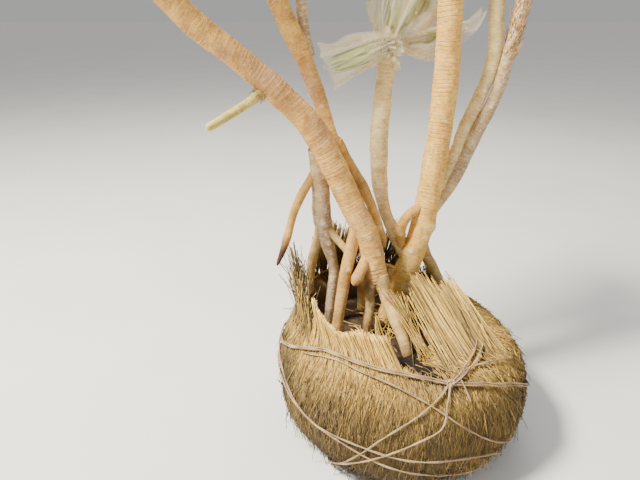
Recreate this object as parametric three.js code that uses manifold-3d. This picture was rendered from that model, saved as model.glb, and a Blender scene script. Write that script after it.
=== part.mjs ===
// A clump of ringed stems standing on prop roots in a straw-wrapped root ball, its leaf heads tied up in netting.
// Millimetres, +Z up. The origin is the centre of the ball's flat underside, and the clump is seen from -Y.
import * as THREE from 'three';
import { mergeVertices } from 'three/addons/utils/BufferGeometryUtils.js';
import Module from 'manifold-3d';

const wasm = await Module();
wasm.setup();

// Driving dimensions
const clearance = 0.35; // kept between two solids that touch on the real plant
const weld = 0.1; // details smaller than this are smoothed away after a cut
const sliver = 0.02; // a leaf whose join would leave a thinner face than this is left out

const ball = {
  columns: 40,
  lumps: 5, // how far the wrapped surface swells and dips
  // Rings from the middle of the underside, over the shoulder and rim, to the middle of the hollow round the roots.
  // r and z are the ring's radius and height, x and y the shift of its centre.
  rings: [
    { r: 0, z: 0, x: 0, y: 0 },
    { r: 215, z: 0, x: 0, y: 0 },
    { r: 262, z: 18, x: 0, y: 0 },
    { r: 294, z: 70, x: 0, y: 0 },
    { r: 304, z: 125, x: 0, y: 0 },
    { r: 301, z: 190, x: 0, y: 0 },
    { r: 285, z: 245, x: 0, y: 0 },
    { r: 254, z: 290, x: -8, y: 0 },
    { r: 214, z: 322, x: -34, y: 3 },
    { r: 188, z: 334, x: -58, y: 5 },
    { r: 166, z: 305, x: -52, y: 5 },
    { r: 140, z: 264, x: -45, y: 5 },
    { r: 0, z: 258, x: -45, y: 5 },
  ],
  rim: 9, // index of the ring along the top of the rim
  rightDrop: 16, // the rim is lower where the straw is folded over it on the right
  notch: { angle: -82, width: 20, drop: 52 }, // the front gap that one prop root grows out through
};

const twineRadius = 2.4;
const twineSlack = 0.9; // it spans the hollows of the straw
const stemSides = 10;
const rootSides = 7;
const stepAlong = 38; // length of one step along a limb
const ringRelief = 0.035; // share of the radius by which scar rings stand out

// Finishes
const bark = { color: 0xe0c096, roughness: 0.85 };
const shadedBark = { color: 0xb59a7c, roughness: 0.9 };
const rootBark = { color: 0xbb9a72, roughness: 0.9 };
const straw = { color: 0xd2b078, roughness: 0.95 };
const twineFinish = { color: 0xcdb48a, roughness: 0.9 };
const leafFinish = { color: 0xb7bd8c, roughness: 0.8 };

// Limbs that carry the crown: [x, y, z, radius] along the middle line, from the foot up
const stems = {
  stem_main: {
    finish: bark,
    sides: 12,
    path: [
      [-22, 45, 240, 37],
      [-1, 50, 340, 33],
      [17, 52, 408, 29],
      [34, 55, 480, 27],
      [46, 57, 550, 28.5],
      [58, 60, 680, 27],
      [64, 62, 840, 26.5],
      [57, 62, 1000, 25.5],
      [46, 62, 1150, 25],
      [36, 60, 1285, 24],
    ],
  },
  stem_left: {
    finish: bark,
    path: [
      [-70, -26, 398, 21],
      [-84, -18, 450, 27],
      [-99, -10, 504, 28.5],
      [-158, 0, 628, 27.5],
      [-220, 0, 746, 28],
      [-321, -15, 853, 25.5],
      [-450, -40, 963, 24],
      [-575, -62, 1100, 23],
    ],
  },
  stem_prop: {
    finish: shadedBark,
    cutBy: ['stem_left'],
    path: [
      [-189, 4, 240, 12],
      [-178, 16, 340, 12.5],
      [-174, 25, 410, 12],
      [-190, 31, 470, 16.5],
      [-201, 34, 525, 22.5],
      [-206, 28, 600, 20.5],
      [-214, 10, 705, 19],
    ],
  },
  stem_back_left: {
    finish: bark,
    cutBy: ['stem_left', 'stem_prop'],
    path: [
      [-176, 29, 704, 14],
      [-203, 54, 788, 17],
      [-241, 60, 885, 19],
      [-292, 60, 997, 20.5],
      [-330, 66, 1130, 19],
    ],
  },
  stem_back_thin: {
    finish: shadedBark,
    cutBy: ['stem_back_left'],
    path: [
      [-231, 64, 892, 11],
      [-237, 75, 923, 12.5],
      [-245, 88, 975, 12.5],
      [-252, 104, 1060, 12.5],
      [-254, 122, 1145, 12],
    ],
  },
  stem_middle: {
    finish: bark,
    cutBy: ['stem_main'],
    path: [
      [8, 64, 420, 14],
      [-16, 82, 464, 18],
      [-38, 95, 505, 14.5],
      [-52, 100, 547, 17],
      [-62, 100, 600, 20],
      [-69, 100, 703, 20.5],
      [-65, 100, 800, 20.5],
      [-61, 100, 892, 19.5],
    ],
  },
  stem_far_right: {
    finish: bark,
    cutBy: ['stem_main'],
    path: [
      [60, 64, 540, 13],
      [91, 72, 585, 15],
      [122, 79, 650, 17],
      [149, 80, 724, 16],
      [180, 78, 805, 14.5],
      [196, 72, 900, 13.5],
      [209, 68, 1000, 12.5],
      [232, 56, 1110, 12],
    ],
  },
  stem_right: {
    finish: bark,
    cutBy: ['stem_far_right', 'stem_main'],
    path: [
      [84, 76, 592, 12],
      [106, 84, 667, 13.5],
      [124, 88, 735, 15],
      [154, 88, 818, 15.5],
      [168, 86, 883, 15.5],
      [163, 88, 960, 16],
      [160, 106, 1060, 15.5],
      [172, 142, 1165, 15],
    ],
  },
};

const boughs = {
  bough_left_outer: {
    finish: bark,
    cutBy: ['stem_left'],
    path: [
      [-572, -62, 1098, 15],
      [-618, -76, 1158, 18],
      [-655, -86, 1235, 17],
    ],
  },
  bough_left_inner: {
    finish: bark,
    cutBy: ['stem_left', 'bough_left_outer'],
    path: [
      [-572, -60, 1098, 15],
      [-548, -38, 1165, 17],
      [-532, -14, 1240, 16],
    ],
  },
  bough_main_left: {
    finish: bark,
    cutBy: ['stem_main'],
    path: [
      [36, 60, 1283, 17],
      [-6, 42, 1338, 20],
      [-44, 24, 1408, 19],
    ],
  },
  bough_main_right: {
    finish: bark,
    cutBy: ['stem_main', 'bough_main_left'],
    path: [
      [36, 60, 1283, 17],
      [80, 62, 1335, 19],
      [112, 58, 1400, 18],
    ],
  },
};

// Prop roots: [x, y, z, radius] from where each leaves its limb down to its foot or hanging tip
const roots = {
  root_left_of_stem: {
    cutBy: ['stem_left'],
    path: [
      [-124, -4, 545, 11],
      [-134, -20, 481, 14],
      [-146, -35, 432, 14.5],
      [-155, -48, 378, 14.5],
      [-167, -70, 298, 14],
      [-172, -78, 240, 13],
    ],
  },
  root_front: {
    cutBy: ['stem_left'],
    path: [
      [-68, -27, 412, 17],
      [-55, -42, 378, 15.5],
      [-38, -72, 342, 15.5],
      [-14, -118, 286, 15],
      [-4, -146, 250, 12],
    ],
  },
  root_centre: {
    cutBy: ['stem_left', 'root_front'],
    path: [
      [-78, -26, 412, 12],
      [-88, -31, 370, 12],
      [-87, -35, 335, 12],
      [-95, -40, 277, 11.5],
      [-97, -42, 240, 11],
    ],
  },
  root_blunt: {
    cutBy: ['stem_left'],
    path: [
      [-90, -14, 475, 10],
      [-104, -33, 450, 12],
      [-122, -52, 419, 12.5],
      [-131, -61, 404, 8],
    ],
  },
  root_prop_left: {
    cutBy: ['stem_prop'],
    path: [
      [-202, 34, 512, 13],
      [-219, 43, 450, 12],
      [-229, 49, 395, 11.5],
      [-233, 52, 320, 10],
    ],
  },
  root_prop_right: {
    cutBy: ['stem_prop', 'root_left_of_stem'],
    path: [
      [-193, 33, 516, 10],
      [-172, 20, 492, 9.5],
      [-142, -12, 466, 9],
    ],
  },
  root_dark_tip: {
    cutBy: ['stem_prop', 'stem_left'],
    path: [
      [-214, 24, 655, 9],
      [-250, 10, 597, 10],
      [-267, 0, 559, 10],
      [-282, -10, 505, 10],
      [-294, -15, 469, 7],
      [-308, -20, 434, 3.2],
    ],
  },
  root_young: {
    cutBy: ['stem_left'],
    path: [
      [-318, -18, 838, 10],
      [-342, -29, 815, 10],
      [-382, -50, 792, 9.5],
      [-430, -79, 766, 8.5],
    ],
  },
  root_torn: {
    cutBy: ['stem_back_left', 'stem_left', 'stem_prop'],
    path: [
      [-174, 33, 716, 12],
      [-152, 44, 680, 13],
      [-128, 50, 640, 13],
      [-97, 50, 583, 12.5],
      [-76, 48, 535, 12],
      [-56, 48, 478, 11],
      [-51, 46, 450, 4.5],
    ],
  },
  root_arched: {
    cutBy: ['stem_main', 'stem_middle'],
    path: [
      [34, 48, 560, 10],
      [2, 40, 538, 12],
      [-13, 42, 502, 12],
      [-6, 58, 455, 11],
    ],
  },
  root_behind_main: {
    cutBy: ['stem_main'],
    path: [
      [36, 60, 480, 12],
      [58, 70, 422, 13],
      [86, 76, 372, 13],
      [108, 80, 312, 13],
      [112, 82, 240, 12],
    ],
  },
  root_back_right: {
    cutBy: ['stem_main', 'stem_middle'],
    path: [
      [34, 66, 505, 11],
      [24, 104, 430, 13],
      [12, 126, 345, 13],
      [4, 134, 240, 12],
    ],
  },
  root_back_middle: {
    cutBy: ['stem_left'],
    path: [
      [-94, 0, 500, 11],
      [-92, 36, 425, 12],
      [-96, 68, 345, 12],
      [-98, 78, 240, 11],
    ],
  },
  root_back_left: {
    cutBy: ['stem_prop'],
    path: [
      [-203, 40, 540, 11],
      [-186, 78, 455, 12],
      [-166, 106, 350, 12],
      [-158, 114, 240, 11],
    ],
  },
};

// Netted leaf heads, each on the tip of its limb: axis is the way it points
const heads = {
  leaves_left_outer: { on: 'bough_left_outer', axis: [-0.4, -0.1, 1], length: 430, girth: 84, leaves: 21, seed: 61 },
  leaves_left_inner: { on: 'bough_left_inner', axis: [0.08, -0.06, 1], length: 430, girth: 80, leaves: 22, seed: 62 },
  leaves_back_left: { on: 'stem_back_left', axis: [-0.14, 0.16, 1], length: 440, girth: 80, leaves: 20, seed: 63 },
  leaves_back_thin: { on: 'stem_back_thin', axis: [0.2, 0.5, 1], length: 380, girth: 68, leaves: 18, seed: 84 },
  leaves_middle: { on: 'stem_middle', axis: [0.42, 0.5, 1], length: 350, girth: 74, leaves: 20, seed: 65 },
  leaves_main_left: { on: 'bough_main_left', axis: [-0.32, -0.18, 1], length: 460, girth: 90, leaves: 21, seed: 66 },
  leaves_main_right: { on: 'bough_main_right', axis: [0.3, 0, 1], length: 460, girth: 88, leaves: 21, seed: 87 },
  leaves_right: { on: 'stem_right', axis: [0.3, 0.5, 1], length: 420, girth: 78, leaves: 21, seed: 68 },
  leaves_far_right: { on: 'stem_far_right', axis: [0.5, -0.16, 1], length: 410, girth: 76, leaves: 21, seed: 69 },
};

// The middle head's netting is knotted round two more bunches that stick out sideways from the tie
const sideBunches = {
  leaves_middle_left: {
    from: [-66, 84, 914], to: [-192, 78, 864], start: 20, girth: 52, leaves: 8, pinched: false, seed: 201,
  },
  leaves_middle_right: {
    from: [-44, 108, 912], to: [196, 172, 962], start: 18, girth: 46, leaves: 10, pinched: true, seed: 202,
  },
};

// Small helpers
function seededRandom(seed) {
  let state = seed;
  return () => {
    state = (state + 0x6d2b79f5) | 0;
    let t = Math.imul(state ^ (state >>> 15), 1 | state);
    t = (t + Math.imul(t ^ (t >>> 7), 61 | t)) ^ t;
    return ((t ^ (t >>> 14)) >>> 0) / 4294967296;
  };
}

const degrees = THREE.MathUtils.degToRad;
const lerp = THREE.MathUtils.lerp;
const vector = (p) => new THREE.Vector3(p[0], p[1], p[2]);

// Moves every vertex of a geometry by a rule and leaves only shared positions
function warp(geometry, rule) {
  const bare = geometry.index ? geometry.clone() : geometry;
  bare.deleteAttribute('normal');
  bare.deleteAttribute('uv');
  const position = bare.attributes.position;
  const point = new THREE.Vector3();
  for (let i = 0; i < position.count; i += 1) {
    point.fromBufferAttribute(position, i);
    const moved = rule(point);
    position.setXYZ(i, moved.x, moved.y, moved.z);
  }
  return mergeVertices(bare, 1e-4);
}

function toSolid(geometry) {
  return new wasm.Manifold(
    new wasm.Mesh({
      numProp: 3,
      vertProperties: new Float32Array(geometry.attributes.position.array),
      triVerts: new Uint32Array(geometry.index.array),
    }),
  );
}

function toGeometry(solid) {
  const mesh = solid.getMesh();
  const geometry = new THREE.BufferGeometry();
  geometry.setAttribute('position', new THREE.BufferAttribute(new Float32Array(mesh.vertProperties), 3));
  geometry.setIndex(new THREE.BufferAttribute(new Uint32Array(mesh.triVerts), 1));
  return geometry;
}

// Keeps the largest body that a cut leaves, drops loose scraps and fills sealed hollows
function largestBody(solid) {
  const tidy = toSolid(mergeVertices(toGeometry(solid.simplify(weld)), 1e-3));
  const bodies = tidy.decompose();
  return bodies.reduce((best, body) => (body.volume() > best.volume() ? body : best));
}

// True where the solid has no sliver faces and is one closed skin with its corners rounded to 0.0001 mm
function isCrisp(solid) {
  const geometry = toGeometry(solid);
  const { position } = geometry.attributes;
  const index = geometry.index.array;
  const names = [];
  for (let i = 0; i < position.count; i += 1) {
    names.push([position.getX(i), position.getY(i), position.getZ(i)].map((v) => v.toFixed(4)).join(' '));
  }
  const uses = new Map();
  for (let i = 0; i < index.length; i += 3) {
    const face = [names[index[i]], names[index[i + 1]], names[index[i + 2]]];
    if (new Set(face).size < 3 || altitude(index.slice(i, i + 3), position) < sliver) {
      return false;
    }
    face.forEach((corner, side) => {
      const edge = [corner, face[(side + 1) % 3]].sort().join(' ');
      uses.set(edge, (uses.get(edge) ?? 0) + 1);
    });
  }
  return [...uses.values()].every((count) => count === 2);
}

// The shortest height of a triangle
function altitude(corners, position) {
  const [a, b, c] = [...corners].map((corner) => new THREE.Vector3().fromBufferAttribute(position, corner));
  const longest = Math.max(a.distanceTo(b), b.distanceTo(c), c.distanceTo(a));
  return (2 * new THREE.Triangle(a, b, c).getArea()) / longest;
}

function cutClear(solid, others) {
  const rest = others.reduce((left, other) => left.subtract(other), solid);
  return largestBody(rest);
}

// The root ball: rings of vertices joined into one closed skin
function ballPoint(angle, ring) {
  const below = Math.floor(ring);
  const above = Math.min(below + 1, ball.rings.length - 1);
  const at = (index) => {
    const { r, z, x, y } = ball.rings[index];
    const outside = index > 1 && index <= ball.rim;
    const lump = outside ? ball.lumps * swell(angle, index) : 0;
    const top = THREE.MathUtils.smoothstep(index, 7, ball.rim) * (index <= ball.rim ? 1 : 0.4);
    const away = Math.abs(THREE.MathUtils.euclideanModulo(angle - ball.notch.angle + 180, 360) - 180);
    const inNotch = Math.exp(-((away / ball.notch.width) ** 2));
    const drop = top * (ball.rightDrop * Math.max(0, Math.cos(degrees(angle))) + ball.notch.drop * inNotch);
    const radius = r + lump;
    return new THREE.Vector3(
      x + radius * Math.cos(degrees(angle)),
      y + radius * Math.sin(degrees(angle)),
      z - drop,
    );
  };
  return at(below).lerp(at(above), ring - below);
}

function swell(angle, index) {
  return Math.sin(degrees(angle * 3 + index * 47)) * 0.6 + Math.sin(degrees(angle * 7 - index * 80)) * 0.4;
}

function ballNormal(angle, ring) {
  const last = ball.rings.length - 1;
  const along = ballPoint(angle, Math.min(ring + 0.5, last)).sub(ballPoint(angle, Math.max(ring - 0.5, 0)));
  const around = ballPoint(angle + 4, ring).sub(ballPoint(angle - 4, ring));
  if (around.length() < 1) {
    return new THREE.Vector3(0, 0, ring < 1 ? -1 : 1);
  }
  return around.cross(along).normalize();
}

function ballGeometry() {
  const last = ball.rings.length - 1;
  const skin = new THREE.SphereGeometry(1, ball.columns, last);
  const step = 360 / ball.columns;
  return warp(skin, (p) => {
    const ring = Math.round((Math.acos(THREE.MathUtils.clamp(-p.y, -1, 1)) / Math.PI) * last);
    const column = Math.round(THREE.MathUtils.radToDeg(Math.atan2(-p.z, p.x)) / step);
    const atPole = ring === 0 || ring === last;
    return ballPoint(atPole ? 0 : column * step, ring);
  });
}

// The same closed shape with every face moved outwards by at least the given amount
function grown(geometry, amount) {
  const larger = geometry.clone();
  const { position } = larger.attributes;
  const corners = larger.index.array;
  const normals = Array.from({ length: position.count }, () => []);
  const at = (i) => new THREE.Vector3().fromBufferAttribute(geometry.attributes.position, i);
  for (let i = 0; i < corners.length; i += 3) {
    const face = [corners[i], corners[i + 1], corners[i + 2]];
    const normal = new THREE.Triangle(...face.map(at)).getNormal(new THREE.Vector3());
    face.forEach((corner) => normals[corner].push(normal));
  }
  normals.forEach((around, i) => {
    const shift = new THREE.Vector3();
    for (let pass = 0; pass < 12; pass += 1) {
      around.forEach((normal) => {
        shift.addScaledVector(normal, Math.max(0, amount - shift.dot(normal)));
      });
    }
    const moved = at(i).add(shift);
    position.setXYZ(i, moved.x, moved.y, moved.z);
  });
  return larger;
}

// A limb: a closed cylinder bent along a smooth middle line, with its own radius at each step
function limbSolid({ path, sides }, grow, defaultSides) {
  const line = new THREE.CatmullRomCurve3(path.map(vector), false, 'centripetal');
  const steps = Math.max(5, Math.round(line.getLength() / stepAlong));
  const frames = line.computeFrenetFrames(steps, false);
  const radiusAt = (t) => {
    const along = t * (path.length - 1);
    const index = THREE.MathUtils.clamp(Math.floor(along), 0, path.length - 2);
    return lerp(path[index][3], path[index + 1][3], along - index);
  };
  const count = sides ?? defaultSides;
  const body = new THREE.CylinderGeometry(1, 1, 1, count, steps);
  return toSolid(
    warp(body, (p) => {
      const row = Math.round((p.y + 0.5) * steps);
      const u = row / steps;
      const t = line.getUtoTmapping(u);
      const scar = row % 2 === 0 && row > 0 && row < steps ? 1 + ringRelief : 1;
      const radius = radiusAt(t) * scar + grow;
      const overrun = row === 0 ? -grow : row === steps ? grow : 0;
      return line
        .getPointAt(u)
        .addScaledVector(frames.tangents[row], overrun)
        .addScaledVector(frames.normals[row], radius * p.x)
        .addScaledVector(frames.binormals[row], -radius * p.z);
    }),
  );
}

// A bunch of straps in netting: a folded bag that is narrow at its tie, with leaf tips standing out of it
function bunchSolid({ from, axis, length, start, girth, leaves, pinched, seed }) {
  const random = seededRandom(seed);
  const along = axis.clone().normalize();
  const side = new THREE.Vector3(0, 1, 0).cross(along).normalize();
  const other = along.clone().cross(side).normalize();
  const bagLength = length * (pinched ? 0.98 : 0.66);
  const bulge = (h) => {
    const open = pinched ? 1 - THREE.MathUtils.smoothstep(h, 0.5, 0.85) * 0.72 : 1 - 0.32 * h ** 3;
    return lerp(start, girth, THREE.MathUtils.smoothstep(h, 0, 0.45)) * open;
  };
  const place = (h, angle, radius) =>
    from
      .clone()
      .addScaledVector(along, h)
      .addScaledVector(side, radius * Math.cos(angle))
      .addScaledVector(other, radius * Math.sin(angle));
  const rows = 6;
  const turns = 12;
  const phase = random() * Math.PI * 2;
  const bag = new THREE.CylinderGeometry(1, 1, 1, turns, rows);
  let bunch = toSolid(
    warp(bag, (p) => {
      const h = p.y + 0.5;
      const angle = Math.atan2(-p.z, p.x);
      const onAxis = Math.hypot(p.x, p.z) < 0.5;
      const fold = 1 + 0.09 * Math.min(1, h * 3) * Math.sin(angle * 5 + phase + h * 2);
      return place(h * bagLength, angle, onAxis ? 0 : bulge(h) * fold);
    }),
  );
  for (let i = 0; i < leaves; i += 1) {
    const leaf = leafSolid({ i, leaves, random, place, bulge, bagLength, length, pinched });
    const joined = bunch.add(leaf);
    if (isCrisp(largestBody(joined))) {
      bunch = joined;
    }
  }
  return bunch;
}

// One strap leaf of eight faces, rooted inside the bag and arching outwards to its tip
function leafSolid({ i, leaves, random, place, bulge, bagLength, length, pinched }) {
  const golden = Math.PI * (3 - Math.sqrt(5));
  const ring = Math.sqrt((i + 0.5) / leaves);
  const angle = i * golden + random() * 0.4;
  const rootShare = pinched ? lerp(0.3, 0.6, random()) : lerp(0.5, 0.85, random());
  const root = place(rootShare * bagLength, angle, bulge(rootShare) * ring * 0.6);
  const top = pinched ? bagLength * (rootShare + 0.2) : lerp(length, length * 0.86, ring * random());
  const bend = pinched ? 0.9 : lerp(0.95, 1.25, random());
  const widest = place(lerp(rootShare * bagLength, top, 0.62), angle, bulge(1) * ring * bend);
  const tip = place(top, angle, Math.max(5, bulge(1) * ring * bend * (pinched ? 0.8 : 1.55)));
  const run = tip.clone().sub(root);
  const forward = run.clone().normalize();
  const flat = forward.clone().cross(place(0, angle + 0.35, 1).sub(place(0, angle + 0.35, 0))).normalize();
  const thick = flat.clone().cross(forward).normalize();
  const halfWidth = lerp(11, 16, random());
  const halfThickness = run.length() * 0.006 + 1.2;
  return toSolid(
    warp(new THREE.OctahedronGeometry(1), (p) => {
      const start = p.y > 0.5 ? tip : p.y < -0.5 ? root : widest;
      return start.clone().addScaledVector(flat, halfWidth * p.x).addScaledVector(thick, halfThickness * p.z);
    }),
  );
}

// A sheaf of straw: a curved slab between a line on the ball and a line of tips, with a ragged top
function sheafSolid({ base, tips, thickness, columns, ragged, seed }) {
  const random = seededRandom(seed);
  const baseLine = new THREE.CatmullRomCurve3(base.map(vector));
  const tipLine = new THREE.CatmullRomCurve3(tips.map(vector));
  const short = Array.from({ length: columns + 1 }, (_, i) => (i % 2 ? ragged * lerp(0.6, 1.2, random()) : 0));
  const rows = 2;
  const frame = (u) => {
    const a = baseLine.getPoint(u);
    const b = tipLine.getPoint(u);
    const next = baseLine.getPoint(Math.min(1, u + 0.02)).sub(baseLine.getPoint(Math.max(0, u - 0.02)));
    const out = next.cross(b.clone().sub(a)).normalize();
    return { a, b, out };
  };
  return toSolid(
    warp(new THREE.BoxGeometry(1, 1, 1, columns, 1, rows), (p) => {
      const column = Math.round((p.x + 0.5) * columns);
      const { a, b, out } = frame(column / columns);
      const h = p.z + 0.5;
      const reach = h > 0.9 ? 1 - short[column] : h;
      const depth = thickness * lerp(1, 0.35, h) * -p.y;
      return a.clone().lerp(b, reach).addScaledVector(out, depth);
    }),
  );
}

// Twine lies on the ball: ring says where on the ball it runs at each angle round it
function twineCentre(angle, ring) {
  return ballPoint(angle, ring).addScaledVector(ballNormal(angle, ring), twineRadius + clearance + twineSlack);
}

// A tied ring of twine, pulled up on one side and never below its lowest ring on the other
function twineRingGeometry({ middle, tilt, towards, lowest }) {
  const columns = ball.columns;
  const centres = Array.from({ length: columns }, (_, i) => {
    const angle = (360 / columns) * i;
    return twineCentre(angle, Math.max(lowest, middle + tilt * Math.cos(degrees(angle - towards))));
  });
  return warp(new THREE.TorusGeometry(2, 1, 5, columns), (p) => {
    const around = THREE.MathUtils.euclideanModulo(Math.atan2(p.y, p.x) / (Math.PI * 2), 1);
    const centre = centres[Math.round(around * columns) % columns];
    const out = centre.clone().setZ(0).normalize();
    const radial = Math.hypot(p.x, p.y) - 2;
    return centre.clone().addScaledVector(out, twineRadius * radial).setZ(centre.z + twineRadius * p.z);
  });
}

// A loose length of twine between two angles round the ball
function twineLengthSolid({ angles, rings }) {
  const steps = 24;
  const path = Array.from({ length: steps + 1 }, (_, i) => {
    const u = i / steps;
    const centre = twineCentre(lerp(angles[0], angles[1], u), lerp(rings[0], rings[1], u ** 0.8));
    return [centre.x, centre.y, centre.z, twineRadius * 0.8];
  });
  return limbSolid({ path, sides: 5 }, 0);
}

const twineRings = {
  twine_main_upper: { middle: 5.2, tilt: 2.7, towards: -125, lowest: 3.7 },
  twine_main_lower: { middle: 4.92, tilt: 2.7, towards: -125, lowest: 3.42 },
  twine_low: { middle: 2.9, tilt: 1.7, towards: -165, lowest: 1.7 },
};

const knotSite = { angle: -74, ring: 6.72, radius: 7.5 }; // where the lengths of twine cross in front

const twineLengths = {
  twine_slanting: { angles: [-148, -16], rings: [7.15, 2.4] },
};

// Straw collars: base lines lie on the ball's shoulder or rim, tips lean in round the stems
const sheaves = {
  straw_front: {
    thickness: 17, columns: 20, ragged: 0.32, seed: 11,
    base: sweep(214, 266, 8.7, 4),
    tips: [
      [-222, -112, 402],
      [-196, -160, 384],
      [-163, -186, 368],
      [-122, -190, 372],
      [-73, -185, 354],
    ],
  },
  straw_right_outer: {
    thickness: 20, columns: 22, ragged: 0.16, seed: 12,
    base: sweep(-74, 14, 7.6, 4),
    tips: [
      [-34, -42, 378],
      [0, -22, 388],
      [38, 2, 399],
      [76, 14, 380],
      [104, 34, 364],
    ],
  },
  straw_right_inner: {
    thickness: 17, columns: 14, ragged: 0.2, seed: 13,
    base: sweep(19, 62, 7.8, 3),
    tips: [
      [112, 50, 352],
      [104, 96, 364],
      [72, 128, 384],
    ],
  },
  straw_back: {
    thickness: 16, columns: 22, ragged: 0.28, seed: 14,
    base: sweep(66, 150, 8.7, 4),
    tips: [
      [52, 148, 410],
      [-24, 172, 440],
      [-104, 168, 462],
      [-168, 132, 470],
      [-210, 92, 452],
    ],
  },
  straw_left: {
    thickness: 13, columns: 16, ragged: 0.45, seed: 15,
    base: sweep(154, 210, 8.7, 3),
    tips: [
      [-250, 84, 436],
      [-268, 4, 440],
      [-248, -84, 418],
    ],
  },
};

function sweep(fromAngle, toAngle, ring, pieces) {
  return Array.from({ length: pieces + 1 }, (_, i) => {
    const p = ballPoint(lerp(fromAngle, toAngle, i / pieces), ring);
    return [p.x, p.y, p.z];
  });
}

// Build, each limb cut clear of those it grows from
const group = new THREE.Group();

function addMesh(name, solid, finish) {
  const material = new THREE.MeshStandardMaterial({
    color: finish.color,
    roughness: finish.roughness,
    metalness: 0,
  });
  const mesh = new THREE.Mesh(toGeometry(solid), material);
  mesh.name = name;
  group.add(mesh);
}

const rootBallShape = ballGeometry();
const rootBallClear = toSolid(grown(rootBallShape, clearance));
addMesh('root_ball', toSolid(rootBallShape), straw);

const limbsClear = {};
const limbSpecs = { ...stems, ...boughs, ...roots };
for (const [name, spec] of Object.entries(limbSpecs)) {
  const sides = name in roots ? rootSides : stemSides;
  const full = limbSolid(spec, 0, sides);
  const neighbours = (spec.cutBy ?? []).map((other) => limbsClear[other]);
  const limb = cutClear(full, [rootBallClear, ...neighbours]);
  limbsClear[name] = limbSolid(spec, clearance, sides);
  addMesh(name, limb, spec.finish ?? rootBark);
}

const bagsClear = {};
Object.entries(heads).forEach(([name, head]) => {
  const path = limbSpecs[head.on].path;
  const end = vector(path[path.length - 1]);
  const limbEnd = limbEndAxis(path);
  const from = end.clone().addScaledVector(limbEnd, clearance);
  const start = path[path.length - 1][3] + 5;
  const spec = { pinched: false, ...head, from, start, axis: vector(head.axis) };
  addMesh(name, cutClear(bunchSolid(spec), [limbsClear[head.on]]), leafFinish);
  bagsClear[name] = bunchSolid({
    ...spec,
    leaves: 0,
    from: end,
    start: start + clearance,
    girth: head.girth + clearance * 1.5,
  });
});

function limbEndAxis(path) {
  const line = new THREE.CatmullRomCurve3(path.map(vector), false, 'centripetal');
  return line.getTangent(1);
}

Object.entries(sideBunches).forEach(([name, bunch]) => {
  const from = vector(bunch.from);
  const run = vector(bunch.to).sub(from);
  const spec = { ...bunch, from, axis: run, length: run.length() };
  const solid = cutClear(bunchSolid(spec), [bagsClear.leaves_middle, limbsClear.stem_middle, limbsClear.stem_main]);
  addMesh(name, solid, leafFinish);
});

const allLimbs = Object.values(limbsClear);
for (const [name, sheaf] of Object.entries(sheaves)) {
  addMesh(name, cutClear(sheafSolid(sheaf), [rootBallClear, ...allLimbs]), straw);
}

const ringsClear = Object.entries(twineRings).map(([name, twine]) => {
  const ring = twineRingGeometry(twine);
  addMesh(name, cutClear(toSolid(ring), [rootBallClear]), twineFinish);
  return toSolid(grown(ring, clearance));
});
for (const [name, twine] of Object.entries(twineLengths)) {
  addMesh(name, cutClear(twineLengthSolid(twine), [rootBallClear]), twineFinish);
}
const knotCentre = twineCentre(knotSite.angle, knotSite.ring);
const knot = warp(new THREE.IcosahedronGeometry(1, 1), (p) =>
  knotCentre.clone().addScaledVector(p, knotSite.radius),
);
addMesh('twine_knot', cutClear(toSolid(knot), [rootBallClear, ...ringsClear]), twineFinish);

export default group;
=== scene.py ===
import math

import bpy
import numpy as np
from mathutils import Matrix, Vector


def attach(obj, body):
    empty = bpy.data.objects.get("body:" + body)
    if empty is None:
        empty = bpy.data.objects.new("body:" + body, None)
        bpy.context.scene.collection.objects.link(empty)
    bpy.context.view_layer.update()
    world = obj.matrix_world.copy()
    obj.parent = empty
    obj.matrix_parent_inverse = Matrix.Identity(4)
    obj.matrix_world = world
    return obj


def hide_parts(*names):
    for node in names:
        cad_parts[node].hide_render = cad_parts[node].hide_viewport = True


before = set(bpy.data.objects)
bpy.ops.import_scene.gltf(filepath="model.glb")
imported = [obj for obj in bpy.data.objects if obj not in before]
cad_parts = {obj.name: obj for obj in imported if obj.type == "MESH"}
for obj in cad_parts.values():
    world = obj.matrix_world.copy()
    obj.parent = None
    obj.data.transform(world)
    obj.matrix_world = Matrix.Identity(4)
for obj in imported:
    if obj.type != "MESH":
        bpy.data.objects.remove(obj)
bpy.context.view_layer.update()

MM = 0.001


def show(name, data):
    """A new object of the scene."""
    made = bpy.data.objects.new(name, data)
    bpy.context.scene.collection.objects.link(made)
    return made


# Camera: the photograph's place, tilt and angle of view
CAMERA_PLACE = (-0.207, -1.060, 0.975)
CAMERA_TILT_DOWN = 24.5
LENS_IN_PIXELS = 500
PHOTO_WIDTH = 640
SENSOR_WIDTH = 36

camera_data = bpy.data.cameras.new("camera")
camera_data.sensor_width = SENSOR_WIDTH
camera_data.lens = SENSOR_WIDTH * LENS_IN_PIXELS / PHOTO_WIDTH
camera = show("camera", camera_data)
camera.location = CAMERA_PLACE
camera.rotation_euler = (math.radians(90 - CAMERA_TILT_DOWN), 0, 0)
bpy.context.scene.camera = camera

# The root ball's rings from the flat underside, over the rim and down to the middle of the mouth: r, z, x, y
BALL_RINGS = np.array([
    (0, 0, 0, 0), (215, 0, 0, 0), (262, 18, 0, 0), (294, 70, 0, 0), (304, 125, 0, 0), (301, 190, 0, 0),
    (285, 245, 0, 0), (254, 290, -8, 0), (214, 322, -34, 3), (188, 334, -58, 5), (166, 305, -52, 5),
    (140, 264, -45, 5), (0, 258, -45, 5),
], float)
RIM_RING, LAST_RING = 9, 12
RING_STEP = 56  # millimetres of skin from one ring to the next
BALL_LUMPS = 5
RIGHT_DROP = 16
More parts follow.
